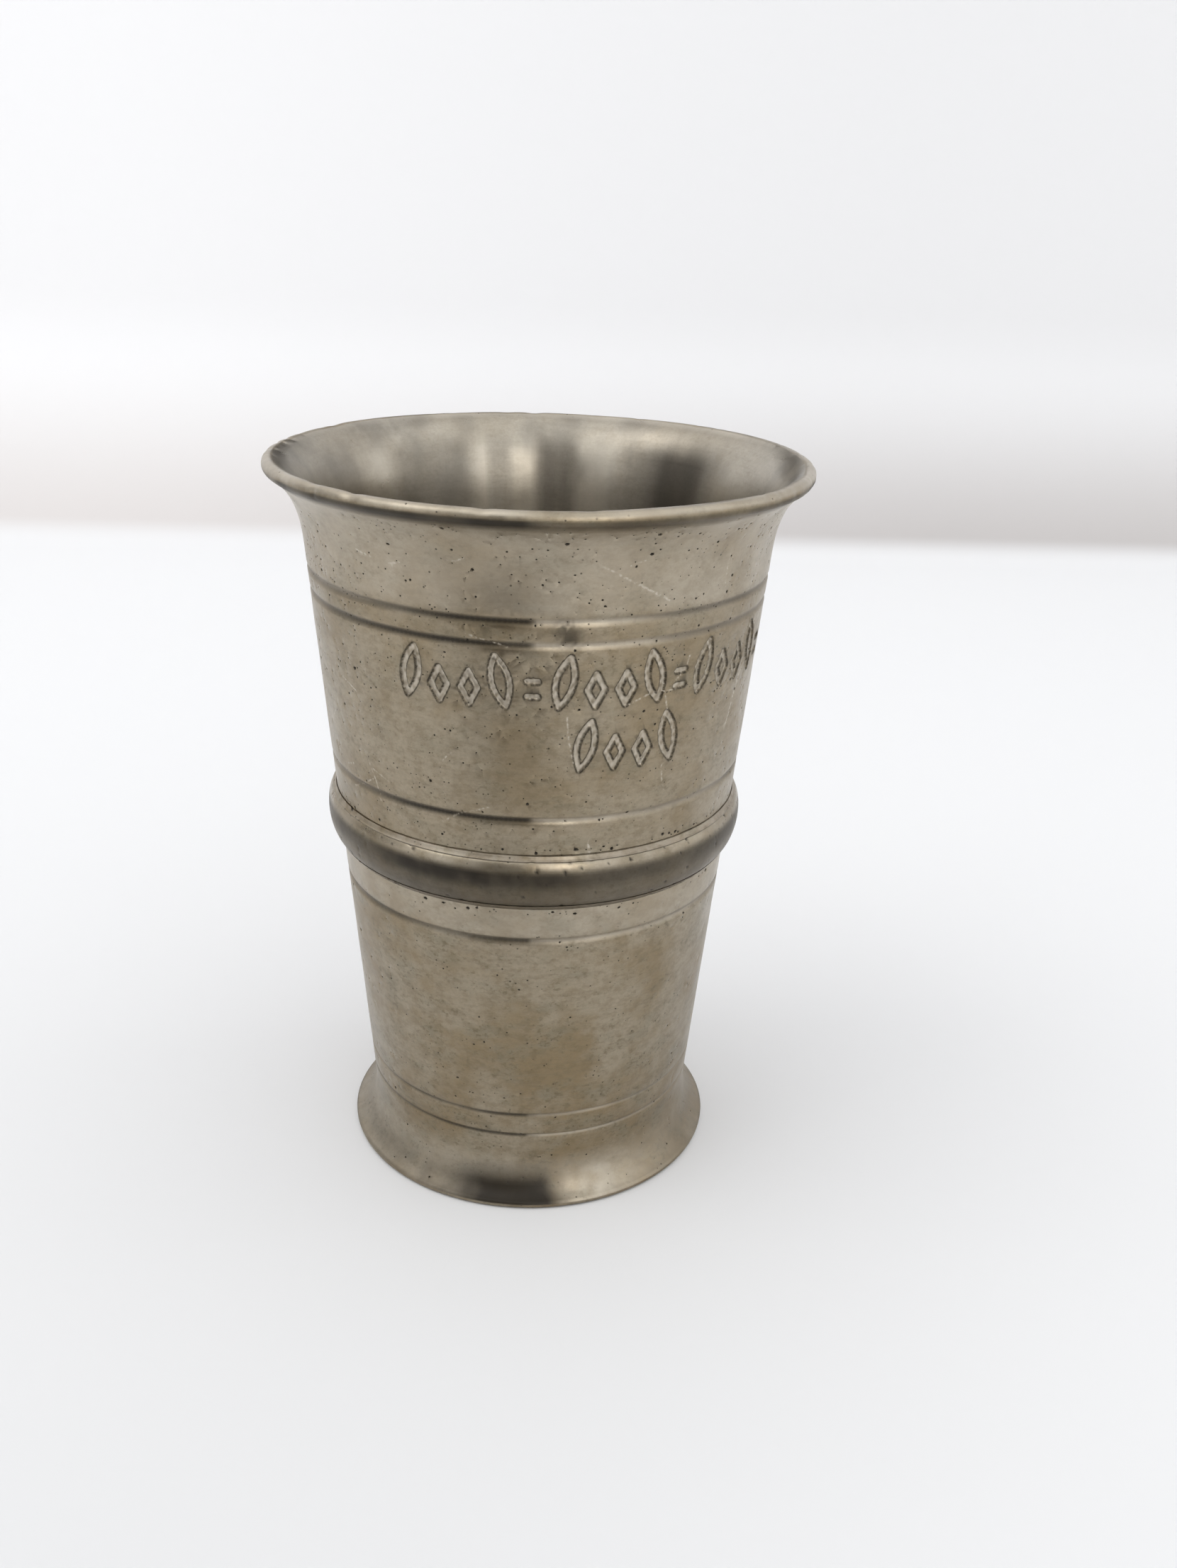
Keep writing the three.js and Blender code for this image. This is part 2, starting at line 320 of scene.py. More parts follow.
class Wall:
    """The outside of a barrel rolled out flat, so that points can lie anywhere on it.

    u is the distance round the wall at its middle radius, and v is the distance up its outline.
    """

    def __init__(self, outline):
        self.outline = np.array(outline)
        self.run = np.concatenate([[0], np.cumsum(np.linalg.norm(np.diff(self.outline, axis=0), axis=1))])
        self.radius = self.outline[:, 0].mean()
        self.half = math.pi * self.radius
        tangent = np.gradient(self.outline, self.run, axis=0)
        tangent /= np.linalg.norm(tangent, axis=1)[:, None]
        self.normal = np.stack([tangent[:, 1], -tangent[:, 0]], axis=1)
        self.parts = []

    def up(self, z):
        return np.interp(z, self.outline[:, 1], self.run)

    def height(self, v):
        return np.interp(v, self.run, self.outline[:, 1])

    def put(self, u, v, sink=0.0, tarnish_and_painted_shade=0.0):
        """Keeps points, each with how deep it is sunk by a pit and how dark it is there."""
        part = np.stack(np.broadcast_arrays(np.asarray(u, float), v, sink, tarnish_and_painted_shade), axis=-1)
        self.parts.append(part.reshape(-1, 4))

    def row(self, v, angles):
        self.put(angles * self.radius, v)

    def lattice(self, rng, pitch, low, high, left=None, right=None, jitter=0.2):
        """Points a pitch apart in staggered rows, each one shaken a little."""
        left = -self.half + pitch / 2 if left is None else left
        right = self.half - pitch / 2 if right is None else right
        v = np.arange(low + pitch / 2, high - pitch / 3, pitch * 0.87)
        u = np.arange(left, right, pitch)
        grid_u = u[None, :] + (np.arange(len(v)) % 2)[:, None] * pitch / 2
        grid_v = v[:, None] + 0 * grid_u
        shake = rng.uniform(-jitter, jitter, (2, *grid_u.shape)) * pitch
        points = np.stack([(grid_u + shake[0]).ravel(), (grid_v + shake[1]).ravel()])
        return points[:, np.abs(points[0]) < self.half - 0.3 * pitch]

    def clear(self, pit_u, pit_v, radius):
        """Takes away the points that lie where a pit goes."""
        kept = []
        for part in self.parts:
            for chunk in np.array_split(part, max(1, len(part) // 4000)):
                gap = np.hypot(chunk[:, :1] - pit_u, chunk[:, 1:2] - pit_v) - PIT_ROOM * radius
                kept.append(chunk[gap.min(axis=1) > 0])
        self.parts = kept

    def pits(self, rng, count, typical, chance, low, high):
        """Craters of many sizes where the chance is high, none of them touching another."""
        tries = 6 * count
        u = rng.uniform(-0.99, 0.99, tries) * self.half
        v = rng.uniform(low, high, tries)
        radius = np.clip(typical * np.exp(rng.normal(0, 0.42, tries)), 0.45 * typical, 3.2 * typical)
        picked = np.flatnonzero(rng.random(tries) < chance(u, v))[: int(1.3 * count)]
        u, v, radius = u[picked], v[picked], radius[picked]
        near = np.hypot(u[:, None] - u, v[:, None] - v) < PIT_ROOM * (radius[:, None] + radius)
        free = ~np.triu(near, 1).any(axis=0)
        u, v, radius = u[free][:count], v[free][:count], radius[free][:count]
        self.clear(u, v, radius)
        turns = rng.uniform(0, 2 * math.pi, (len(u), 1)) + np.arange(PIT_SIDES) * 2 * math.pi / PIT_SIDES
        wobble = rng.uniform(0.8, 1.15, turns.shape)
        squash = rng.uniform(0.65, 1.0, (len(u), 1))
        for size, sink, dark in PIT_RINGS:
            reach = size * radius[:, None] * wobble
            ring_u = u[:, None] + reach * np.cos(turns)
            ring_v = v[:, None] + squash * reach * np.sin(turns)
            depth = sink * radius[:, None] + 0 * reach
            keep = radius > (1.2 * typical if size < 1 else 0)
            self.put(ring_u[keep], ring_v[keep], depth[keep], dark)
        self.put(u, v, radius * rng.uniform(0.8, 1.3, len(u)), 1)

    def lay(self, skin, low_angles, high_angles, shape, coat=0):
        """Joins the points into triangles on the turned wall, and returns its lowest and highest ring.

        `shape` gives the offset, the dark value (dirt and painted shade) and the bright value (wear and
        painted highlight) at u and v.
        """
        top = self.run[-1]
        seam_steps = round(top / SEAM_PITCH)
        seam = np.arange(1, seam_steps) * top / seam_steps
        edges = [(low_angles * self.radius, 0.0), (high_angles * self.radius, top), (-self.half, seam)]
        rims = [np.stack(np.broadcast_arrays(u, v, 0.0, 0.0), axis=-1) for u, v in edges]
        ends = [len(rims[0]), len(rims[0]) + len(rims[1])]
        given = np.concatenate(rims + self.parts)
        right = np.concatenate([[0, ends[0]], np.arange(ends[1], ends[1] + len(seam))])
        copies = given[right, :2] * (-1, 1)
        flat = np.concatenate([given[:, :2], copies])
        joined = delaunay_2d_cdt([Vector(point) for point in flat / MM], [], [], 0, 1e-7, True)
        names = np.array([origins[0] for origins in joined[3]])
        corners = names[np.array([tuple(face) for face in joined[2]])]
        own = np.concatenate([np.arange(len(given)), right])
        u, v, sink, dark = given.T
        offset, tarnish_and_painted_shade, wear_and_painted_highlight = shape(u, v)
        offset = offset - sink
        r = np.interp(v, self.run, self.outline[:, 0]) + offset * np.interp(v, self.run, self.normal[:, 0])
        z = self.height(v) + offset * np.interp(v, self.run, self.normal[:, 1])
        angles = u / self.radius
        first = skin.ring(r, z, angles, np.maximum(tarnish_and_painted_shade, dark), wear_and_painted_highlight * (1 - dark))
        skin.face(first + own[corners], coat)
        return first, first + ends[0]


def even_angles(count):
    return np.arange(count) * 2 * math.pi / count - math.pi


def ripple(rng, waves, size):
    """A smooth function of the angle round the cup, made of a few sine waves."""
    orders = np.arange(1, waves + 1)
    phases = rng.uniform(0, 2 * math.pi, waves)
    sizes = rng.normal(0, 1, waves) / np.sqrt(orders)
    sizes *= size / np.sqrt((sizes**2).sum())
    return lambda a: (sizes[:, None] * np.sin(orders[:, None] * np.asarray(a) + phases[:, None])).sum(axis=0)


# ---------------------------------------------------------------- ornament


def turned_stroke(points, tilt, offset):
    c, s = math.cos(tilt), math.sin(tilt)
    return [(x * c - y * s + offset[0], x * s + y * c + offset[1]) for x, y in points]


def leaf(tilt, tall, wide):
    """The outline of a pointed leaf: two strokes."""
    ups = np.linspace(-1, 1, 9)
    edge = [(wide / 2 * (1 - u * u), u * tall / 2) for u in ups]
    return [turned_stroke(stroke, tilt, (0, 0)) for stroke in (edge, [(-x, y) for x, y in edge])]


def lozenge(tall, wide, drop):
    corners = [(0, -tall / 2), (wide / 2, 0), (0, tall / 2), (-wide / 2, 0), (0, -tall / 2)]
    return [[(x, y - drop) for x, y in corners]]


def dash(wide, height):
    return [[(-wide / 2, height), (wide / 2, height)]]


def motif(index, tall, wide):
    """The pattern repeats a leaf, two low lozenges, a leaf that leans back and a pair of short bars."""
    lean = math.radians(12)
    low = 0.17 * tall
    choices = [
        leaf(-lean, tall, wide),
        lozenge(0.64 * tall, wide, low),
        lozenge(0.64 * tall, wide, low),
        leaf(lean, tall, wide),
        dash(0.6 * wide, -0.28 * tall) + dash(0.6 * wide, 0.02 * tall),
    ]
    return choices[index % len(choices)]


def row_strokes(ornament, wall, height, start, count):
    """Strokes of one engraved row, as points (u, v)."""
    strokes = []
    for i in range(count):
        centre = start * wall.radius + (i + 0.5) * ornament.motif_pitch
        for stroke in motif(i, ornament.motif_height, 0.56 * ornament.motif_pitch):
            strokes.append([(x + centre, y + wall.up(height)) for x, y in stroke])
    return strokes


# The plainest scratches: degrees round the cup and millimetres up it, from end to end.
LONG_SCRATCHES = (
    (-44, 55.4, -39, 55.1),
    (-34, 54.9, -31, 55.1),
    (13.5, 55.7, 30, 52.8),
    (61, 45.4, 57.5, 41.3),
    (14, 33.9, 14.6, 33.1),
)
STROKE_REACH = 1.2 * MM  # a point farther from a stroke than this counts as far from all strokes


def scratch_lines(rng, wall, count):
    """Faint scratches, each a straight line with a slight kink, and the plain ones that end the list."""
    lines = []
    for _ in range(count):
        middle = np.array([rng.uniform(-0.95, 0.95) * wall.half, rng.uniform(0.12, 0.9) * wall.run[-1]])
        lean = rng.normal(0, 0.5) + math.pi / 2 * (rng.random() < 0.35)
        reach = rng.uniform(0.8, 4.5) * MM
        step = np.array([math.cos(lean), math.sin(lean)]) * reach / 2
        kink = rng.normal(0, 0.06, 2) * reach
        lines.append([tuple(middle - step), tuple(middle + kink), tuple(middle + step)])
    for left, low, right, high in LONG_SCRATCHES:
        ends = [(math.radians(left), low), (math.radians(right), high)]
        lines.append([(turn * wall.radius, float(wall.up(z * MM))) for turn, z in ends])
    edge = 0.4 * MM
    return [line for line in lines if all(edge < v < wall.run[-1] - edge for _, v in line)]


def stroke_distance(strokes, u, v):
    """Distance from each point of the wall to the nearest stroke."""
    nearest = np.full(np.shape(u), 1.0)
    for stroke in strokes:
        box = np.array(stroke)
        (left, low), (right, high) = box.min(axis=0) - STROKE_REACH, box.max(axis=0) + STROKE_REACH
        inside = np.flatnonzero((u > left) & (u < right) & (v > low) & (v < high))
        close_u, close_v, best = u[inside], v[inside], nearest[inside]
        for (x0, y0), (x1, y1) in zip(stroke, stroke[1:]):
            dx, dy = x1 - x0, y1 - y0
            t = np.clip(((close_u - x0) * dx + (close_v - y0) * dy) / (dx * dx + dy * dy), 0, 1)
            best = np.minimum(best, np.hypot(close_u - x0 - t * dx, close_v - y0 - t * dy))
        nearest[inside] = best
    return nearest


def ridges(rng, waves, size):
    """A smooth uneven surface over u and v, between about -1 and 1, with bumps of a given size."""
    turn = rng.uniform(0, math.pi, waves)
    pace = 2 * math.pi / size * rng.uniform(0.6, 1.6, waves)
    shift = rng.uniform(0, 2 * math.pi, waves)

    def value(u, v):
        total = np.zeros(np.shape(u))
        for a, k, s in zip(turn, pace, shift):
            total += np.sin(k * (u * math.cos(a) + v * math.sin(a)) + s)
        return total / math.sqrt(2 * waves)

    return value


def keyed(angles, keys):
    """A value that eases between (degrees, value) keys round the cup."""
    places, values = zip(*keys)
    return np.interp(np.degrees(angles) % 360, places, values, period=360)


# ---------------------------------------------------------------- finishing a piece


def finish_piece(mesh, replaced, slot, *materials):
    """Shows a finished mesh in place of a frame node. A swept ring has its material already."""
    piece = bpy.data.objects.new(mesh.name, mesh)
    bpy.context.collection.objects.link(piece)
    for material in materials:
        mesh.materials.append(material)
    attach(piece, "root")
    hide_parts(replaced)


# ---------------------------------------------------------------- materials


class Nodes:
    """Small helper that adds and links the nodes of one node tree."""

    def __init__(self, tree):
        self.tree = tree

    @classmethod
    def material(cls, name):
        made = bpy.data.materials.new(name)
        made.use_nodes = True
        nodes = cls(made.node_tree)
        nodes.made = made
        nodes.shader = made.node_tree.nodes["Principled BSDF"]
        nodes.place = nodes.add("ShaderNodeTexCoord").outputs["Object"]
        return nodes

    def add(self, kind, **settings):
        node = self.tree.nodes.new(kind)
        for key, value in settings.items():
            setattr(node, key, value)
        return node

    def link(self, value, socket):
        if isinstance(value, bpy.types.NodeSocket):
            self.tree.links.new(value, socket)
        else:
            socket.default_value = value

    def math(self, operation, a, b=0.0, clamp=False):
        node = self.add("ShaderNodeMath", operation=operation, use_clamp=clamp)
        self.link(a, node.inputs[0])
        self.link(b, node.inputs[1])
        return node.outputs[0]

    def stretch(self, scale):
        node = self.add("ShaderNodeMapping")
        self.link(self.place, node.inputs["Vector"])
        node.inputs["Scale"].default_value = scale
        return node.outputs[0]

    def noise(self, vector, scale, detail=3.0, roughness=0.55):
        node = self.add("ShaderNodeTexNoise")
        self.link(vector, node.inputs["Vector"])
        node.inputs["Scale"].default_value = scale
        node.inputs["Detail"].default_value = detail
        node.inputs["Roughness"].default_value = roughness
        return node.outputs[0]

    def range(self, value, low, high, to_low=0.0, to_high=1.0):
        node = self.add("ShaderNodeMapRange", interpolation_type="SMOOTHSTEP")
        self.link(value, node.inputs["Value"])
        for key, number in zip(("From Min", "From Max", "To Min", "To Max"), (low, high, to_low, to_high)):
            node.inputs[key].default_value = number
        return node.outputs[0]

    def mix(self, factor, a, b):
        node = self.add("ShaderNodeMix", data_type="RGBA")
        self.link(factor, node.inputs["Factor"])
        self.link(a, node.inputs[6])
        self.link(b, node.inputs[7])
        return node.outputs[2]

    def bump(self, height, distance, strength=1.0, normal=None):
        node = self.add("ShaderNodeBump")
        self.link(height, node.inputs["Height"])
        node.inputs["Distance"].default_value = distance
        node.inputs["Strength"].default_value = strength
        if normal is not None:
            self.link(normal, node.inputs["Normal"])
        return node.outputs[0]


def rgba(value, share=1.0):
    """A colour for a node's socket, at a share of its brightness."""
    return (*(share * c for c in value), 1.0)


def pewter(name, finish, clean, gloss, stain, streaks=False):
    """Turned pewter: stained in patches, finely lined by the lathe, dark where dirt and painted shade gather,
    pale where wear and painted highlights lie.

    `gloss` is the roughness of the clean metal, `stain` the strength of its films, and `streaks`
    gives the cleaner metal of the inside, with stripes that run up it.
    """
    n = Nodes.material(name)
    broad = n.noise(n.place, 110, 4, 0.62)
    patch = n.noise(n.stretch((1, 1, 1.7)), 330, 5, 0.65)
    cloud = n.noise(n.stretch((1, 1, 1.5)), 900, 4, 0.7)
    smut = n.noise(n.stretch((1, 1, 1.4)), 2100, 3, 0.6)
    grain = n.noise(n.place, 5200, 3, 0.6)
    lines = n.noise(n.stretch((0.06, 0.06, 1)), 3800, 3, 0.6)
    lathe = n.noise(n.stretch((0.05, 0.05, 1)), 9000, 2, 0.6)
    dirt_and_painted_shade = n.add("ShaderNodeAttribute", attribute_name="tarnish_and_painted_shade").outputs["Fac"]
    worn_and_painted_highlight = n.add("ShaderNodeAttribute", attribute_name="wear_and_painted_highlight").outputs["Fac"]

    smut = n.math("MULTIPLY", n.range(smut, 0.51, 0.66), n.range(patch, 0.42, 0.6, 0.1, 0.5 * stain))
    films = [
        (n.range(broad, 0.4, 0.62, 0, 0.85 * stain), rgba(finish.warm_stain)),
        (n.range(patch, 0.44, 0.7, 0, 0.6 * stain), rgba(finish.cool_stain)),
        (n.range(cloud, 0.42, 0.66, 0, 0.12 if streaks else 0.36), rgba(finish.warm_stain, 0.66)),
        (smut, rgba(finish.warm_stain, 0.5)),
        (n.range(grain, 0.35, 0.65, 0, 0.16), rgba(clean, 0.55)),
    ]
    if streaks:
        stripe = n.noise(n.stretch((1, 1, 0.04)), 260, 3, 0.5)
        films.append((n.range(stripe, 0.42, 0.66, 0, 0.5), rgba(clean, 0.45)))
    films.append((n.range(lines, 0.4, 0.75, 0, 0.16), rgba(clean, 0.5)))
    # Bright metal where the bright value is high: wear, and painted highlights.
    films.append((n.math("MULTIPLY", worn_and_painted_highlight, 0.75), rgba(finish.worn_and_painted_highlight)))
    tint = rgba(clean)
    for cover, film in films:
        tint = n.mix(cover, tint, film)

    speck = n.add("ShaderNodeTexVoronoi", feature="F1")
    n.link(n.place, speck.inputs["Vector"])
    speck.inputs["Scale"].default_value = 1500
    fleck = n.range(speck.outputs["Distance"], 0.08, 0.15, 0.15 if streaks else 0.7, 0)
    fleck = n.math("MULTIPLY", fleck, n.range(n.noise(n.place, 330, 2), 0.47, 0.6))
    # Dark where the dark value is high: dirt in pits and strokes, and painted shade and painted reflections.
    dark = n.math("MAXIMUM", dirt_and_painted_shade, fleck, clamp=True)
    n.link(n.mix(dark, tint, rgba(finish.tarnish_and_painted_shade)), n.shader.inputs["Base Color"])

    rough = n.range(n.noise(n.place, 260, 4), 0.3, 0.7, gloss - 0.05, gloss + 0.08)
    rough = n.math("ADD", rough, n.math("MULTIPLY", grain, 0.05))
    rough = n.math("ADD", rough, n.math("MULTIPLY", dark, 0.3), clamp=True)
    n.link(rough, n.shader.inputs["Roughness"])
    n.shader.inputs["Metallic"].default_value = 1.0
    n.shader.inputs["Coat Weight"].default_value = 0.3
    n.shader.inputs["Coat Roughness"].default_value = 0.32

    normal = n.bump(lathe, 0.004 * MM, 0.35)
    normal = n.bump(grain, 0.008 * MM, 0.35, normal)
    normal = n.bump(cloud, 0.03 * MM, 0.3, normal)
    n.link(normal, n.shader.inputs["Normal"])
    return n.made


LOW_SHADE, HIGH_SHADE = 0.76, 0.92  # brightness of the wall's right side, at its foot and above


def stage_paint(finish):
    """Matt pale paint: the table, and the wall with painted shade, darker at its foot and to the right."""
    n = Nodes.material("table and wall")
    place = n.add("ShaderNodeSeparateXYZ")
    n.link(n.place, place.inputs[0])
    x, z = place.outputs["X"], place.outputs["Z"]
    side = n.range(x, -0.12, 0.1)
    low = n.mix(side, rgba(finish.shaded_backdrop), rgba(finish.shaded_backdrop, LOW_SHADE))
    high = n.mix(side, rgba(finish.high_backdrop), rgba(finish.high_backdrop, HIGH_SHADE))
    wall = n.mix(n.range(z, -0.005, 0.04), low, high)
    n.link(n.mix(n.range(z, 0, 0.003), rgba(finish.table), wall), n.shader.inputs["Base Color"])
    n.shader.inputs["Roughness"].default_value = 0.6
    n.shader.inputs["Specular IOR Level"].default_value = 0.2
    return n.made


# ---------------------------------------------------------------- where dirt, wear, painted shade and painted highlights lie

# Each table holds (degrees round the cup, amount).
# Dirt in the turned lines, and painted reflection: darkest just left of the front, where the lines mirror the
# dark front of the room, clean just right of it.
LINE_DIRT_AND_PAINTED_REFLECTION = (
    (0, 0.25), (3, 0.0), (20, 0.0), (32, 0.4), (80, 0.45), (150, 0.3), (240, 0.45), (310, 0.55),
    (335, 0.75), (345, 1.0), (358, 1.0),
)
# Painted shade under the rolled lip and on the end of the flare below it, strongest at the front.
LIP_PAINTED_SHADE = (
    (0, 0.95), (12, 0.6), (30, 0.45), (60, 0.6), (120, 0.4), (200, 0.3), (280, 0.5), (310, 0.85),
    (350, 1.0),
)
# Painted reflection on the foot: dark where it mirrors the dark front of the room, just left of the front,
# lighter round the sides.
FOOT_PAINTED_REFLECTION = (
    (0, 1.1), (5, 0.95), (9, 0.4), (14, 0.0), (38, 0.05), (60, 0.35), (120, 0.15), (200, 0.25),
    (290, 0.25), (312, 0.4), (322, 0.35), (335, 0.65), (345, 1.0), (355, 1.1),
)
# Painted reflections inside the cup: dark streaks up the bore, by their place round it.
INSIDE_PAINTED_REFLECTION = (
    (0, 0.2), (100, 0.15), (117, 0.0), (123, 0.15), (131, 0.75), (142, 0.85), (149, 0.55), (155, 0.3),
    (160, 0.0), (168, 0.0), (172, 0.5), (179, 0.5), (182, 0.05), (187, 0.05), (190, 0.25), (194, 0.25),
    (196, 0.0), (199, 0.0), (203, 0.3), (222, 0.35), (228, 0.0), (236, 0.0), (248, 0.2),
)
# Painted highlights inside the cup: bright streaks up the bore.
INSIDE_SHEEN = (
    (0, 0.1), (112, 0.1), (120, 0.4), (126, 0.1), (156, 0.0), (161, 0.5), (168, 0.45), (171, 0.0),
    (180, 0.0), (183, 0.5), (187, 0.45), (190, 0.0), (195, 0.2), (197, 0.8), (200, 0.1), (225, 0.1),
    (230, 0.6), (237, 0.1), (260, 0.15),
)
SMUDGE_TURN = math.radians(-9.5)  # middle of the dark smudge between the two rim lines


# ---------------------------------------------------------------- both barrels

AROUND = 240  # steps round the plain parts of a barrel
LIP_AROUND = 960  # steps round the lip, fine enough for its nicks
BOLD_AROUND = 300  # steps round the upper barrel's turned lines
OPEN = 0.75 * MM  # between points on plain metal
CLOSE = 0.085 * MM  # between points where a stroke is engraved
PIT_EDGE = 0.5 * MM  # pits stay this far from a wall's two ends


def upper_outlines(form):
    """The outside without its turned lines, the lip, the inside, and where the rim lines go."""
    socket = lap_radii(form)[1]
    low = LAP_BOX[0].z
    lap_top = LAP_BOX[1].z + form.fit
    lip_centre = (form.rim_radius - form.lip_round, form.height - form.lip_round)
    lip = arc(lip_centre, form.lip_round, -form.lip_flare, math.pi - form.lip_flare, 18)
    outer = flare(form, wall_at, lip[0], form.lip_flare, 1, 18)
    inner = flare(form, bore_at, lip[-1], form.lip_flare, 1, 16)[::-1]
    outside = [(wall_at(form, z), z) for z in np.linspace(low, outer[0][1], 12)] + outer[1:]
    inside = straight(form, bore_at, inner[-1][1], lap_top, 0.9 * MM)
    inside = inner[1:] + inside + [(bore_at(form, lap_top), lap_top), (socket, lap_top), (socket, low)]
    return outside, lip, inside, outer[0][1] - form.rim_line_drop


def turned_lines(wall, heights, width, around):
    """Rows of points across each turned line; returns the middle of each line as a distance up the wall."""
    middles = [float(wall.up(z)) for z in heights]
    for middle in middles:
        for k, t in enumerate(np.linspace(-1.35, 1.35, 11)):
            turn = (np.arange(1, around) + 0.5 * (k % 2)) * 2 * math.pi / around - math.pi
            wall.row(middle + t * width / 2, turn)
    return middles


def line_marks(wall, middles, width, depth, ripples):
    """Offset, dark value and bright value of a set of turned lines."""

    def marks(u, v):
        offset, tarnish_and_painted_shade, wear_and_painted_highlight = np.zeros(len(u)), np.zeros(len(u)), np.zeros(len(u))
        angles = u / wall.radius
        for middle, uneven in zip(middles, ripples):
            t = (v - middle) / (width / 2)
            offset -= depth * np.clip(1 - t * t, 0, None)
            near = np.clip(1.25 - np.abs(t), 0, 1)
            # Dirt and painted reflection, dark towards the front; where it is low, the line is painted bright,
            # as wear and painted highlight.
            dirt_and_painted_shade = np.clip(keyed(angles, LINE_DIRT_AND_PAINTED_REFLECTION) + uneven(angles), 0, 0.95)
            tarnish_and_painted_shade = np.maximum(tarnish_and_painted_shade, near * dirt_and_painted_shade)
            wear_and_painted_highlight = np.maximum(wear_and_painted_highlight, near * (1 - dirt_and_painted_shade) * 0.6)
        return offset, tarnish_and_painted_shade, wear_and_painted_highlight

    return marks


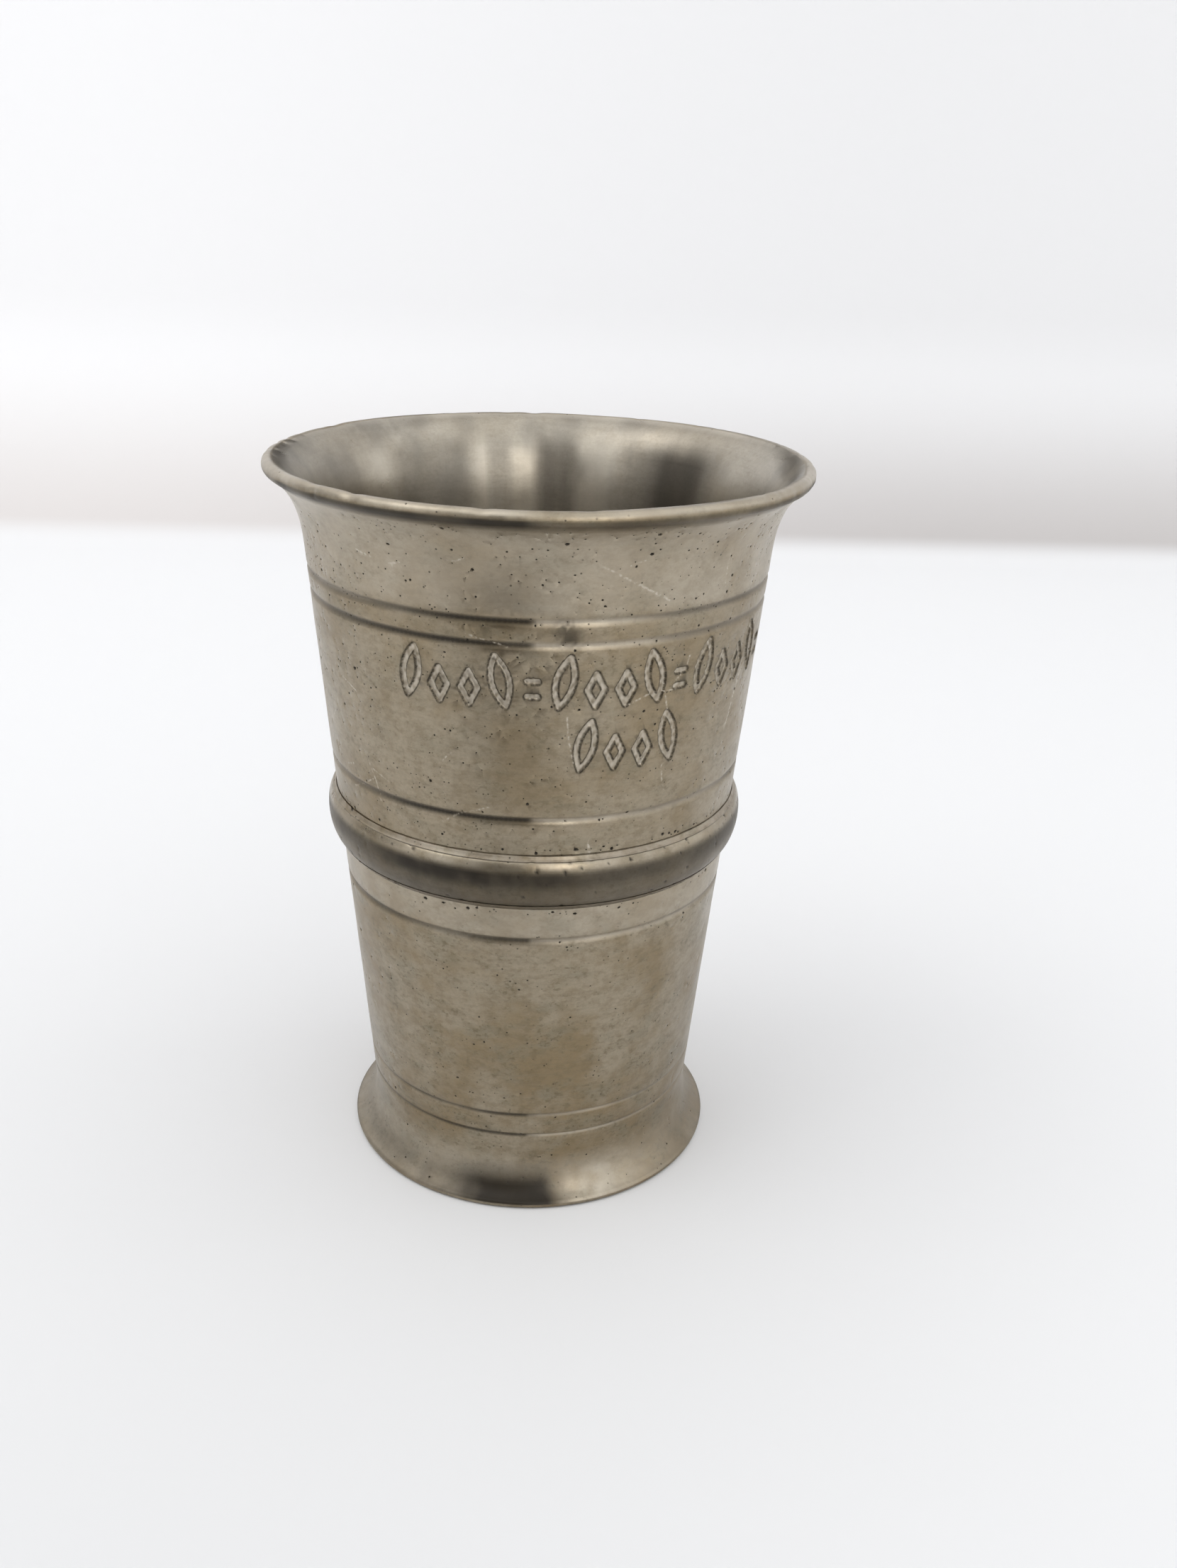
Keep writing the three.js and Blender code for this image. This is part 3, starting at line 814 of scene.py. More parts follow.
def build_upper_barrel(form, ornament, finish):
    rng = np.random.default_rng(ornament.seed)
    outside, lip, inside, rim_line = upper_outlines(form)
    wall = Wall(outside)
    base, lip_angles = even_angles(AROUND), even_angles(LIP_AROUND)
    heights = [form.band_height + form.waist_line_offset, rim_line - form.rim_line_pitch, rim_line]
    middles = turned_lines(wall, heights, form.bold_width, BOLD_AROUND)
    strokes = row_strokes(ornament, wall, ornament.second_height, ornament.second_start, ornament.second_count)
    strokes += row_strokes(ornament, wall, ornament.row_height, ornament.row_start, ornament.row_count)
    scratches = scratch_lines(rng, wall, ornament.scratch_count)
    flare_start = wall.up(rim_line + form.rim_line_drop)
    for k, v in enumerate(np.linspace(flare_start, wall.run[-1], 16)[:-1]):
        wall.row(v, even_angles(AROUND)[1:] + 0.5 * (k % 2) * 2 * math.pi / AROUND)

    u, v = wall.lattice(rng, OPEN, 0, flare_start)
    near_line = np.min([np.abs(v - middle) for middle in middles], axis=0) < 0.75 * form.bold_width
    far = (stroke_distance(strokes, u, v) > 0.5 * MM) & ~near_line
    wall.put(u[far], v[far])
    for lines, reach, pitch in ((strokes, 0.4 * MM, CLOSE), (scratches, 0.14 * MM, 1.1 * CLOSE)):
        for line in lines:
            box = np.array(line)
            (left, low), (right, high) = box.min(axis=0) - reach, box.max(axis=0) + reach
            u, v = wall.lattice(rng, pitch, low, high, left, right)
            own = stroke_distance([line], u, v) < reach
            taken = np.zeros(len(u), bool) if line is lines[0] else near_taken(wall, u, v, pitch)
            wall.put(u[own & ~taken], v[own & ~taken])

    def chance(u, v):
        up = v / wall.run[-1]
        patchy = np.clip(0.55 + 0.5 * patches(u, v), 0.05, 1)
        return patchy * np.clip(0.25 + 0.9 * up, 0, 1) * (stroke_distance(strokes, u, v) > 0.42 * MM)

    patches = ridges(rng, 12, 9 * MM)
    wall.pits(rng, ornament.pit_count, ornament.pit_radius, chance, PIT_EDGE, wall.run[-1] - PIT_EDGE)
    seam_pits(wall, ornament, wall.up(node_box("upper_band_solder")[1].z), 1)

    sway = ripple(rng, 5, 0.03 * MM)
    lip_wave = ripple(rng, 9, 0.035 * MM)
    nicks = lip_nicks(rng, ornament.nick_count, form)
    uneven = [ripple(rng, 9, 0.16) for _ in middles]
    lines = line_marks(wall, middles, form.bold_width, form.bold_depth, uneven)
    under = ripple(rng, 40, 0.22)
    chatter = ridges(rng, 24, 0.55 * MM)
    ragged = ridges(rng, 24, 0.4 * MM)
    swell = ridges(rng, 14, 6 * MM)
    rim_gap = 0.5 * (middles[1] + middles[2])

    def shape(u, v):
        angles = u / wall.radius
        offset, tarnish_and_painted_shade, wear_and_painted_highlight = lines(u, v)
        # Painted shade on the end of the flare, under the lip.
        shade = np.clip((v - wall.run[-1]) / (0.9 * MM) + 1, 0, 1) ** 0.7
        # A lighter band below the lip: paler metal, and painted light that lifts a dark reflection on the
        # flare.
        collar = np.clip((v - middles[2]) / (0.8 * MM), 0, 1) * (1 - shade)
        wear_and_painted_highlight = np.maximum(wear_and_painted_highlight, collar * np.clip(0.3 + 0.1 * swell(u, v), 0, 1))
        tarnish_and_painted_shade = np.maximum(tarnish_and_painted_shade, shade * np.clip(keyed(angles, LIP_PAINTED_SHADE) + under(angles), 0, 0.95))
        offset = offset + sway(angles) * (wall.height(v) / form.height) ** 2
        offset = offset + 0.012 * MM * swell(u, v) * np.clip((v / MM - 1) / 2, 0, 1)
        reach = stroke_distance(strokes, u, v) / (ornament.stroke_width / 2) * (1 + 0.1 * ragged(u, v))
        cut = np.clip(1.25 * (1 - reach**4), 0, 1) * (1 + 0.14 * chatter(u, v))
        burr = 0.22 * np.exp(-(((reach - 1.3) / 0.2) ** 2))
        offset = offset - ornament.stroke_depth * (cut - burr)
        edge = np.exp(-(((reach - 1.03) / 0.28) ** 2)) * np.clip(0.9 + 0.5 * ragged(u, v), 0.3, 1)
        floor_dirt = 0.2 * (reach < 1) * np.clip(-chatter(u, v), 0, 1)
        tarnish_and_painted_shade = np.maximum(tarnish_and_painted_shade, np.maximum(edge, floor_dirt))
        wear_and_painted_highlight = np.maximum(wear_and_painted_highlight, np.where(reach < 0.78, np.clip(0.6 + 0.35 * chatter(u, v), 0, 1), 0))
        across = u - SMUDGE_TURN * wall.radius + 0.25 * v - 0.5 * rim_gap
        smudge = np.exp(-((across / (0.9 * MM)) ** 2) - ((v - rim_gap) / (0.9 * MM)) ** 2)
        tarnish_and_painted_shade = np.maximum(tarnish_and_painted_shade, np.clip(smudge * (0.75 + 0.5 * chatter(u, v)), 0, 0.85))
        plain = np.clip(1.5 - stroke_distance(scratches[-len(LONG_SCRATCHES):], u, v) / (0.1 * MM), 0, 1)
        scratch = np.maximum(plain, np.clip(1.4 - stroke_distance(scratches, u, v) / (0.06 * MM), 0, 1))
        fade = np.clip(0.4 + 0.9 * ragged(u, v) + 0.2 * plain, 0, 1)
        offset = offset - 0.012 * MM * scratch * fade
        return offset, tarnish_and_painted_shade * (1 - scratch * fade), np.maximum(wear_and_painted_highlight, scratch * fade)

    skin = Skin()
    low, high = wall.lay(skin, base, lip_angles, shape)
    normals = normals_of([outside[-2], *lip, inside[0]])[1:-1]
    before = high
    for (r, z), (nr, nz) in zip(lip[1:], normals[1:]):
        offset = sway(lip_angles) - nicks(lip_angles, z)
        height = np.minimum(z + nz * offset + lip_wave(lip_angles), form.height)
        radius = np.minimum(r + nr * offset, form.rim_radius)
        tilt = math.degrees(math.asin(max(-1, min(1, nz))))
        # Painted shade where the rolled edge faces down, and painted highlight (bright) where it faces up.
        shade = min(max((6 - tilt) / 18, 0), 1) if nr > 0 else 0
        dark = shade * np.clip(keyed(lip_angles, LIP_PAINTED_SHADE) + under(lip_angles), 0, 0.95)
        bright = np.clip((tilt - 6) / 20, 0, 1) * np.clip(0.5 + 0.8 * under(lip_angles), 0, 1)
        first = skin.ring(radius, height, lip_angles, dark, bright)
        skin.bridge(before, lip_angles, first, lip_angles)
        before = first
    before_angles = lip_angles
    for r, z in inside:
        drop = form.height - z
        deep = min(max((drop / MM - 1.3) / 1.5, 0), 1) * min(max((17 - drop / MM) / 7, 0.12), 1)
        clean = 0.6 * min(max((drop / MM - 9) / 6, 0), 1)
        # Painted highlight streaks, and paler metal deep down; the dark value gets the painted dark streaks.
        sheen = np.maximum(deep * keyed(base, INSIDE_SHEEN), clean)
        first = skin.ring(r, z, base, deep * keyed(base, INSIDE_PAINTED_REFLECTION), sheen)
        skin.bridge(before, before_angles, first, base, 1)
        before, before_angles = first, base
    skin.bridge(before, base, low, base, 1)
    mesh = skin.mesh("upper_barrel_metal")
    coats = [
        pewter("upper pewter", finish, finish.pewter, 0.36, 0.7),
        pewter("inside pewter", finish, finish.bore, 0.3, 0.22, streaks=True),
    ]
    finish_piece(mesh, "upper_barrel", "satin_pewter", *coats)


def seam_pits(wall, ornament, seam, side):
    """Larger pits in the wall, close along the solder at one side of the waist band."""
    rng = np.random.default_rng(ornament.seed + 4 + side)
    low, high = sorted((seam + side * 0.12 * MM, seam + side * 0.5 * MM))
    bunches = ripple(rng, 30, 0.5)

    def chance(u, v):
        return np.clip(0.3 + bunches(u / wall.radius), 0, 1)

    wall.pits(rng, ornament.seam_pit_count, 1.7 * ornament.pit_radius, chance, low, high)


def near_taken(wall, u, v, pitch):
    """Which points lie closer than about half a pitch to one of the points put last."""
    kept = np.concatenate(wall.parts[-8:])[:, :2]
    box = (kept[:, 0] > u.min() - pitch) & (kept[:, 0] < u.max() + pitch)
    kept = kept[box & (kept[:, 1] > v.min() - pitch) & (kept[:, 1] < v.max() + pitch)]
    if not len(kept):
        return np.zeros(len(u), bool)
    return (np.hypot(u[:, None] - kept[:, 0], v[:, None] - kept[:, 1]) < 0.62 * pitch).any(axis=1)


def lip_nicks(rng, count, form):
    """Small knocks in the rolled edge: how deep the edge is pressed in at an angle and height."""
    where = rng.uniform(-math.pi, math.pi, count)
    wide = rng.uniform(0.012, 0.035, count)
    deep = rng.uniform(0.02, 0.09, count) * MM
    high = form.height - rng.uniform(0.1, 1.0, count) * form.lip_round
    tall = rng.uniform(0.25, 0.5, count) * MM

    def press(angles, z):
        gap = (np.asarray(angles)[:, None] - where + math.pi) % (2 * math.pi) - math.pi
        return (deep * np.exp(-((gap / wide) ** 2) - ((z - high) / tall) ** 2)).sum(axis=1)

    return press


# ---------------------------------------------------------------- lower barrel


def lower_outlines(form):
    """The underside of the foot, the outside without its lines, the inside, and where the foot line goes."""
    spigot = lap_radii(form)[0]
    low, top = LAP_BOX[0].z - form.fit, LAP_BOX[1].z
    ledge = DISC_BOX[1].z + form.fit
    seat = bore_at(form, ledge) + form.seat_ledge
    end = (form.foot_radius, form.foot_edge)
    foot = flare(form, wall_at, end, form.foot_flare, -1, 20)[::-1]
    corner = (form.foot_radius - form.foot_round, form.foot_round)
    sole = [(seat + form.foot_chamfer, 0)] + arc(corner, form.foot_round, -math.pi / 2, 0, 6)
    outside = foot + [(wall_at(form, z), z) for z in np.linspace(foot[-1][1], low, 12)[1:]]
    inside = [(spigot, low), (spigot, top), (bore_at(form, top), top)]
    inside += straight(form, bore_at, top, ledge, 1.2 * MM)
    inside += [(bore_at(form, ledge), ledge), (seat, ledge), (seat, form.foot_chamfer)]
    return sole, outside, inside, foot[-1][1] + form.foot_line_rise


def build_lower_barrel(form, ornament, finish):
    rng = np.random.default_rng(ornament.seed + 1)
    sole, outside, inside, foot_line = lower_outlines(form)
    wall = Wall(outside)
    base = even_angles(AROUND)
    fine = turned_lines(wall, [foot_line, foot_line + form.foot_line_pitch], form.fine_width, AROUND)
    bold = turned_lines(wall, [form.band_height - form.waist_line_offset], form.bold_width, AROUND)
    foot_top = wall.up(foot_line - form.foot_line_rise)
    for k, v in enumerate(np.linspace(0, foot_top, 20)[1:]):
        wall.row(v, base[1:] + 0.5 * (k % 2) * 2 * math.pi / AROUND)
    u, v = wall.lattice(rng, OPEN, foot_top, wall.run[-1])
    far = np.min([np.abs(v - middle) for middle in fine + bold], axis=0) > 0.75 * form.bold_width
    wall.put(u[far], v[far])
    patches = ridges(rng, 12, 9 * MM)

    def chance(u, v):
        return np.clip(0.5 + 0.5 * patches(u, v), 0.05, 1)

    wall.pits(rng, ornament.low_pit_count, ornament.pit_radius, chance, PIT_EDGE, wall.run[-1] - PIT_EDGE)
    seam_pits(wall, ornament, wall.up(node_box("lower_band_solder")[0].z), -1)
    sway = ripple(rng, 5, 0.02 * MM)
    swell = ridges(rng, 14, 6 * MM)
    cloudy = ridges(rng, 20, 2.2 * MM)
    thin = line_marks(wall, fine, form.fine_width, form.fine_depth, [ripple(rng, 9, 0.16) for _ in fine])
    wide = line_marks(wall, bold, form.bold_width, form.bold_depth, [ripple(rng, 9, 0.16)])

    def shape(u, v):
        offset, tarnish_and_painted_shade, wear_and_painted_highlight = (a + b for a, b in zip(thin(u, v), wide(u, v)))
        calm = np.clip(np.minimum(v, wall.run[-1] - v) / (2 * MM), 0, 1)
        angles = u / wall.radius
        # Painted reflection: a dark patch on the foot's flare, mostly at the front.
        painted_dark_reflection = keyed(angles + 0.03 * swell(v, u), FOOT_PAINTED_REFLECTION) + 0.05 * cloudy(u, v)
        foot = np.clip((3.9 * MM - v) / (2.2 * MM), 0, 1) ** 1.3 * np.clip(painted_dark_reflection, 0, 0.97)
        # Painted highlight: bright patches on the foot's flare a little right of the front.
        highlight_patch = np.clip(1 - np.abs(np.degrees(angles) - 22) / 14, 0, 1)
        sheen = np.clip((3.3 * MM - v) / (0.8 * MM), 0, 1) * highlight_patch
        wear_and_painted_highlight = np.maximum(wear_and_painted_highlight, sheen * np.clip(0.7 + 0.6 * cloudy(u, v), 0, 0.9))
        # Painted light that lifts the band's shadow on the strip under it, and paler metal round the foot.
        collar = np.clip((v - bold[0]) / (0.6 * MM), 0, 1) + np.clip((4.6 * MM - v) / (1.5 * MM), 0, 1)
        wear_and_painted_highlight = np.maximum(wear_and_painted_highlight, np.clip(0.3 + 0.06 * cloudy(u, v), 0, 1) * np.clip(collar, 0, 1))
        offset = offset + calm * (sway(angles) + 0.01 * MM * swell(u, v))
        return offset, np.maximum(0.85 * tarnish_and_painted_shade, foot), wear_and_painted_highlight

    skin = Skin()
    low, high = wall.lay(skin, base, base, shape)
    before = high
    for r, z in inside + sole:
        inner = z > 2 * MM
        first = skin.ring(r, z, base, 0.02 if inner else 0.1, 0.6 if inner else 0)
        skin.bridge(before, base, first, base, int(inner))
        before = first
    skin.bridge(before, base, low, base)
    mesh = skin.mesh("lower_barrel_metal")
    coats = [
        pewter("lower pewter", finish, finish.pewter, 0.34, 1.0),
        pewter("lower inside pewter", finish, finish.bore, 0.3, 0.3, streaks=True),
    ]
    finish_piece(mesh, "lower_barrel", "satin_pewter", *coats)


# ---------------------------------------------------------------- waist band, disc and solder


RING_AROUND = 768  # steps round the band and the solder
RING_SIZES = (
    "Knock depth", "Knock size", "Pore depth", "Pore size", "Seed", "Darkening", "Dark from", "Dark to",
    "Pale side",
)
# The band's darkening is painted reflection of the dark front of the room, darkest here and paler to the side.
DARK_TURN, DARK_NEAR, DARK_FAR = (math.radians(a) for a in (-17, 14, 36))  # where the band is darkest


def ring_tree():
    """Node tree that carries a closed outline round the axis and roughens it with knocks and pores.

    The outline lies in the XY plane: X is the radius less the guide radius, and Y is minus the height.
    """
    tree = bpy.data.node_groups.new("Turned ring", "GeometryNodeTree")
    face = tree.interface
    face.new_socket("Geometry", in_out="OUTPUT", socket_type="NodeSocketGeometry")
    face.new_socket("Outline", in_out="INPUT", socket_type="NodeSocketGeometry")
    face.new_socket("Guide radius", in_out="INPUT", socket_type="NodeSocketFloat")
    face.new_socket("Steps around", in_out="INPUT", socket_type="NodeSocketInt")
    for name in RING_SIZES:
        face.new_socket(name, in_out="INPUT", socket_type="NodeSocketFloat")
    face.new_socket("Material", in_out="INPUT", socket_type="NodeSocketMaterial")
    n = Nodes(tree)
    given = n.add("NodeGroupInput").outputs
    profile = n.add("GeometryNodeMeshToCurve")
    n.link(given["Outline"], profile.inputs[0])
    guide = n.add("GeometryNodeCurvePrimitiveCircle")
    n.link(given["Steps around"], guide.inputs["Resolution"])
    n.link(given["Guide radius"], guide.inputs["Radius"])
    sweep = n.add("GeometryNodeCurveToMesh")
    n.link(guide.outputs["Curve"], sweep.inputs["Curve"])
    n.link(profile.outputs["Curve"], sweep.inputs["Profile Curve"])
    place = n.add("GeometryNodeInputPosition").outputs[0]
    normal = n.add("GeometryNodeInputNormal").outputs[0]
    knock = n.add("ShaderNodeTexNoise", noise_dimensions="4D")
    n.link(place, knock.inputs["Vector"])
    n.link(given["Seed"], knock.inputs["W"])
    n.link(n.math("DIVIDE", 1.0, given["Knock size"]), knock.inputs["Scale"])
    pore = n.add("ShaderNodeTexVoronoi", voronoi_dimensions="4D", feature="F1")
    n.link(place, pore.inputs["Vector"])
    n.link(given["Seed"], pore.inputs["W"])
    n.link(n.math("DIVIDE", 1.0, given["Pore size"]), pore.inputs["Scale"])
    hole = n.range(pore.outputs["Distance"], 0.17, 0.32, 1.0, 0.0)
    sink = n.math("MULTIPLY", n.math("SUBTRACT", knock.outputs[0], 1.0), given["Knock depth"])
    sink = n.math("SUBTRACT", sink, n.math("MULTIPLY", hole, given["Pore depth"]))
    shift = n.add("ShaderNodeVectorMath", operation="SCALE")
    n.link(normal, shift.inputs[0])
    n.link(sink, shift.inputs["Scale"])
    moved = n.add("GeometryNodeSetPosition")
    n.link(sweep.outputs[0], moved.inputs["Geometry"])
    n.link(shift.outputs[0], moved.inputs["Offset"])
    axes = n.add("ShaderNodeSeparateXYZ")
    n.link(place, axes.inputs[0])
    x, y, z = axes.outputs
    # Darkening between Dark from and Dark to: on the waist band, painted reflection; on the solder, darker
    # below the band's middle.
    above = n.math("DIVIDE", n.math("SUBTRACT", z, given["Dark from"]), 1.2 * MM, clamp=True)
    above = n.range(above, 0.0, 1.0, 0.66, 1.0)
    over = n.math("DIVIDE", n.math("SUBTRACT", z, given["Dark to"]), 0.5 * MM, clamp=True)
    below = n.math("SUBTRACT", 1.0, over)
    turn = n.math("ARCTAN2", x, n.math("MULTIPLY", y, -1.0))
    aside = n.math("ABSOLUTE", n.math("SUBTRACT", turn, DARK_TURN))
    pale = n.math("MULTIPLY", n.range(aside, DARK_NEAR, DARK_FAR), given["Pale side"])
    dark_band = n.range(knock.outputs[0], 0.36, 0.6, 0.86, 1.0)
    for share in (n.math("SUBTRACT", 1.0, pale), n.math("MULTIPLY", above, below), given["Darkening"]):
        dark_band = n.math("MULTIPLY", dark_band, share)
    marks = {
        "tarnish_and_painted_shade": n.math("MAXIMUM", hole, dark_band),
        # Brighter above Dark to: wear and painted highlight on the band's top shoulder, and on the solder
        # above the band.
        "wear_and_painted_highlight": n.math("MULTIPLY", over, n.range(knock.outputs[0], 0.35, 0.6, 0.0, 0.3)),
    }
    marked = moved
    for key, value in marks.items():
        store = n.add("GeometryNodeStoreNamedAttribute", data_type="FLOAT", domain="POINT")
        store.inputs["Name"].default_value = key
        n.link(marked.outputs[0], store.inputs["Geometry"])
        n.link(value, store.inputs["Value"])
        marked = store
    smooth = n.add("GeometryNodeSetShadeSmooth")
    n.link(marked.outputs[0], smooth.inputs["Geometry"])
    real = n.add("GeometryNodeRealizeInstances")
    n.link(smooth.outputs[0], real.inputs[0])
    coat = n.add("GeometryNodeSetMaterial")
    n.link(real.outputs[0], coat.inputs["Geometry"])
    n.link(given["Material"], coat.inputs["Material"])
    n.link(coat.outputs[0], n.add("NodeGroupOutput").inputs[0])
    return tree


def swept_ring(name, outline, settings):
    """A plain mesh of a closed outline (radius, height) carried round the axis by the ring tree."""
    tree = bpy.data.node_groups.get("Turned ring") or ring_tree()
    guide = sum(r for r, z in outline) / len(outline)
    points = [(r - guide, -z, 0) for r, z in reversed(outline)]
    edges = [(i, (i + 1) % len(points)) for i in range(len(points))]
    seed_mesh = bpy.data.meshes.new(name + "_outline")
    seed_mesh.from_pydata(points, edges, [])
    holder = bpy.data.objects.new(name, seed_mesh)
    bpy.context.collection.objects.link(holder)
    modifier = holder.modifiers.new("Turned ring", "NODES")
    modifier.node_group = tree
    sockets = {item.name: item.identifier for item in tree.interface.items_tree if item.in_out == "INPUT"}
    for key, value in {**settings, "Guide radius": guide, "Steps around": RING_AROUND}.items():
        modifier[sockets[key]] = value
    evaluated = holder.evaluated_get(bpy.context.evaluated_depsgraph_get())
    mesh = bpy.data.meshes.new_from_object(evaluated)
    mesh.name = name
    bpy.data.objects.remove(holder)
    bpy.data.meshes.remove(seed_mesh)
    return mesh


def band_point(form, turn):
    z = form.band_height + form.band_width / 2 * math.sin(turn)
    return wall_at(form, z) + form.fit + form.band_proud * math.cos(turn), z


def build_waist_band(form, finish):
    outline = [band_point(form, turn) for turn in np.linspace(-math.pi / 2, math.pi / 2, 29)]
    low, high = np.array(outline[0]), np.array(outline[-1])
    outline += [tuple(high + (low - high) * t) for t in (0.25, 0.5, 0.75)]
    settings = {
        "Knock depth": 0.02 * MM,
        "Knock size": 2.5 * MM,
        "Pore depth": 0.06 * MM,
        "Pore size": 0.62 * MM,
        "Seed": 2.0,
        # Painted reflection: a dark band across the middle of the band, paler at the sides.
        "Darkening": 1.0,
        "Dark from": form.band_height - 0.7 * MM,
        "Dark to": form.band_height + 1.0 * MM,
        "Pale side": 0.22,
        "Material": pewter("band pewter", finish, [0.86 * c for c in finish.pewter], 0.28, 0.75),
    }
    finish_piece(swept_ring("waist_band_metal", outline, settings), "waist_band", "bright_pewter")


def solder_outlines(form):
    """Outlines of the four runs of solder, by frame node."""
    spigot, socket = lap_radii(form)
    low, top = LAP_BOX[0].z, LAP_BOX[1].z
    inner, outer = spigot + form.fit, socket - form.fit
    outlines = {"lap_solder": [(inner, low), (outer, low), (outer, top), (inner, top)]}
    for side, node in ((1, "upper_band_solder"), (-1, "lower_band_solder")):
        box = node_box(node)
        tip = box[1].z if side > 0 else box[0].z
        leg = abs(tip - form.band_height) - form.band_width / 2
        reach = math.acos(leg / form.band_proud)
        along = [band_point(form, side * a) for a in np.linspace(math.pi / 2, reach, 5)]
        along = [(r, z + side * form.fit) for r, z in along]
        foot = (wall_at(form, tip) + form.fit, tip)
        start, end, pull = np.array(along[-1]), np.array(foot), np.array((-1, -side)) * 0.2 * leg
        hollow = [tuple(start * (1 - t) + end * t + pull * t * (1 - t)) for t in (0.25, 0.5, 0.75)]
        outline = along + hollow + [foot]
        outlines[node] = outline if side > 0 else outline[::-1]
    box = node_box("base_solder")
    outside, top, low = box[1].x, box[1].z, box[0].z
    leg = top - low
    hollow = [
        (outside - leg + 0.72 * leg * math.sin(a), top - 0.72 * leg * (1 - math.cos(a)) - 0.28 * leg * a)
        for a in (0.4, 0.8, 1.2)
    ]
    outlines["base_solder"] = [(outside, low), (outside, top), (outside - leg, top)] + hollow
    return outlines


def build_solder(form, finish):
    settings = {
        "Knock depth": 0.03 * MM,
        "Knock size": 0.9 * MM,
        "Pore depth": 0.07 * MM,
        "Pore size": 0.95 * MM,
        # The solder is darker below the band's middle and brighter above it.
        "Darkening": 0.3,
        "Dark from": 0.0,
        "Dark to": form.band_height,
        "Pale side": 0.0,
        "Material": pewter("solder", finish, finish.solder, 0.42, 0.8),
    }
    for i, (node, outline) in enumerate(solder_outlines(form).items()):
        mesh = swept_ring(node + "_metal", outline, {**settings, "Seed": 5.0 + i})
        finish_piece(mesh, node, "solder")


def build_base_disc(form, finish):
    low, high = DISC_BOX[0].z, DISC_BOX[1].z
    radius = DISC_BOX[1].x
    angles = even_angles(AROUND)
    boss, drop = form.boss_radius, form.boss_depth
    steps = np.linspace(0.02, 1, 52)
    under = [(s * radius, low + (drop if s * radius < boss else 0)) for s in steps]
    top = [(s * radius, high) for s in steps[::-1]]
    skin = Skin()
    rings = [skin.ring(r, z, angles, 0.12 + 0.1 * (i % 3 == 0)) for i, (r, z) in enumerate(under + top)]
    for first, after in zip(rings, rings[1:]):
        skin.bridge(first, angles, after, angles)
    skin.cap(rings[0], angles, low + drop, True)
    skin.cap(rings[-1], angles, high, False)
    mesh = skin.mesh("base_disc_metal")
    material = pewter("base pewter", finish, finish.pewter, 0.4, 0.9)
    finish_piece(mesh, "base_disc", "bright_pewter", material)


# ---------------------------------------------------------------- operators for the pieces


def cup_settings(context):
    scene = context.scene
    return scene.cup_form, scene.cup_ornament, scene.cup_finish


class BUILD_OT_upper_barrel(bpy.types.Operator):
    """Make the upper barrel with its lip, turned lines, engraved rows, pits and nicks"""

    bl_idname = "pewter_cup.upper_barrel"
    bl_label = "Upper barrel"

    def execute(self, context):
        build_upper_barrel(*cup_settings(context))
        return {"FINISHED"}


class BUILD_OT_lower_barrel(bpy.types.Operator):
    """Make the lower barrel with its foot, turned lines and pits"""

    bl_idname = "pewter_cup.lower_barrel"
    bl_label = "Lower barrel"

    def execute(self, context):
        build_lower_barrel(*cup_settings(context))
        return {"FINISHED"}


class BUILD_OT_waist_band(bpy.types.Operator):
    """Make the half-round waist band"""

    bl_idname = "pewter_cup.waist_band"
    bl_label = "Waist band"

    def execute(self, context):
        build_waist_band(context.scene.cup_form, context.scene.cup_finish)
        return {"FINISHED"}


class BUILD_OT_solder(bpy.types.Operator):
    """Make the four runs of solder, with their pores"""

    bl_idname = "pewter_cup.solder"
    bl_label = "Solder"

    def execute(self, context):
        build_solder(context.scene.cup_form, context.scene.cup_finish)
        return {"FINISHED"}


class BUILD_OT_base_disc(bpy.types.Operator):
    """Make the base disc"""

    bl_idname = "pewter_cup.base_disc"
    bl_label = "Base disc"

    def execute(self, context):
        build_base_disc(context.scene.cup_form, context.scene.cup_finish)
        return {"FINISHED"}


# ---------------------------------------------------------------- stage


def add_object(name, data):
    item = bpy.data.objects.new(name, data)
    bpy.context.collection.objects.link(item)
    return item


def build_sweep(finish):
    """Floor that curves up into a wall behind the cup."""
    bend, back, tall, front, half = 0.05, 0.26, 1.2, -0.9, 1.1
    profile = [(front, 0), (back - bend, 0)]
    turns = np.linspace(0, math.pi / 2, 17)[1:]
    profile += [(back - bend + bend * math.sin(a), bend - bend * math.cos(a)) for a in turns]
    profile += [(back, tall)]
    verts = [(x, y, z) for y, z in profile for x in (-half, half)]
    faces = [(2 * i, 2 * i + 1, 2 * i + 3, 2 * i + 2) for i in range(len(profile) - 1)]
    mesh = bpy.data.meshes.new("table_and_wall")
    mesh.from_pydata(verts, [], faces)
    mesh.polygons.foreach_set("use_smooth", [True] * len(faces))
    mesh.materials.append(stage_paint(finish))
    sweep = add_object("table_and_wall", mesh)


def build_lamp():
    """One soft lamp, high up at the left, as a window lights a room."""
    place, target = Vector((-0.5, -0.15, 0.7)), Vector((0, 0, 0.02))
    data = bpy.data.lights.new("window", "AREA")
    data.shape = "RECTANGLE"
    data.size = data.size_y = 0.5
    data.energy = 0.9
    lamp = add_object("window", data)
    lamp.location = place
    lamp.rotation_euler = (target - place).to_track_quat("-Z", "Y").to_euler()


BRIGHT_TURNS, BRIGHT_RISES = (100, 135), (10, 60)  # degrees round and up to the brighter part of the room
BRIGHT_EDGE = 12  # degrees over which it fades


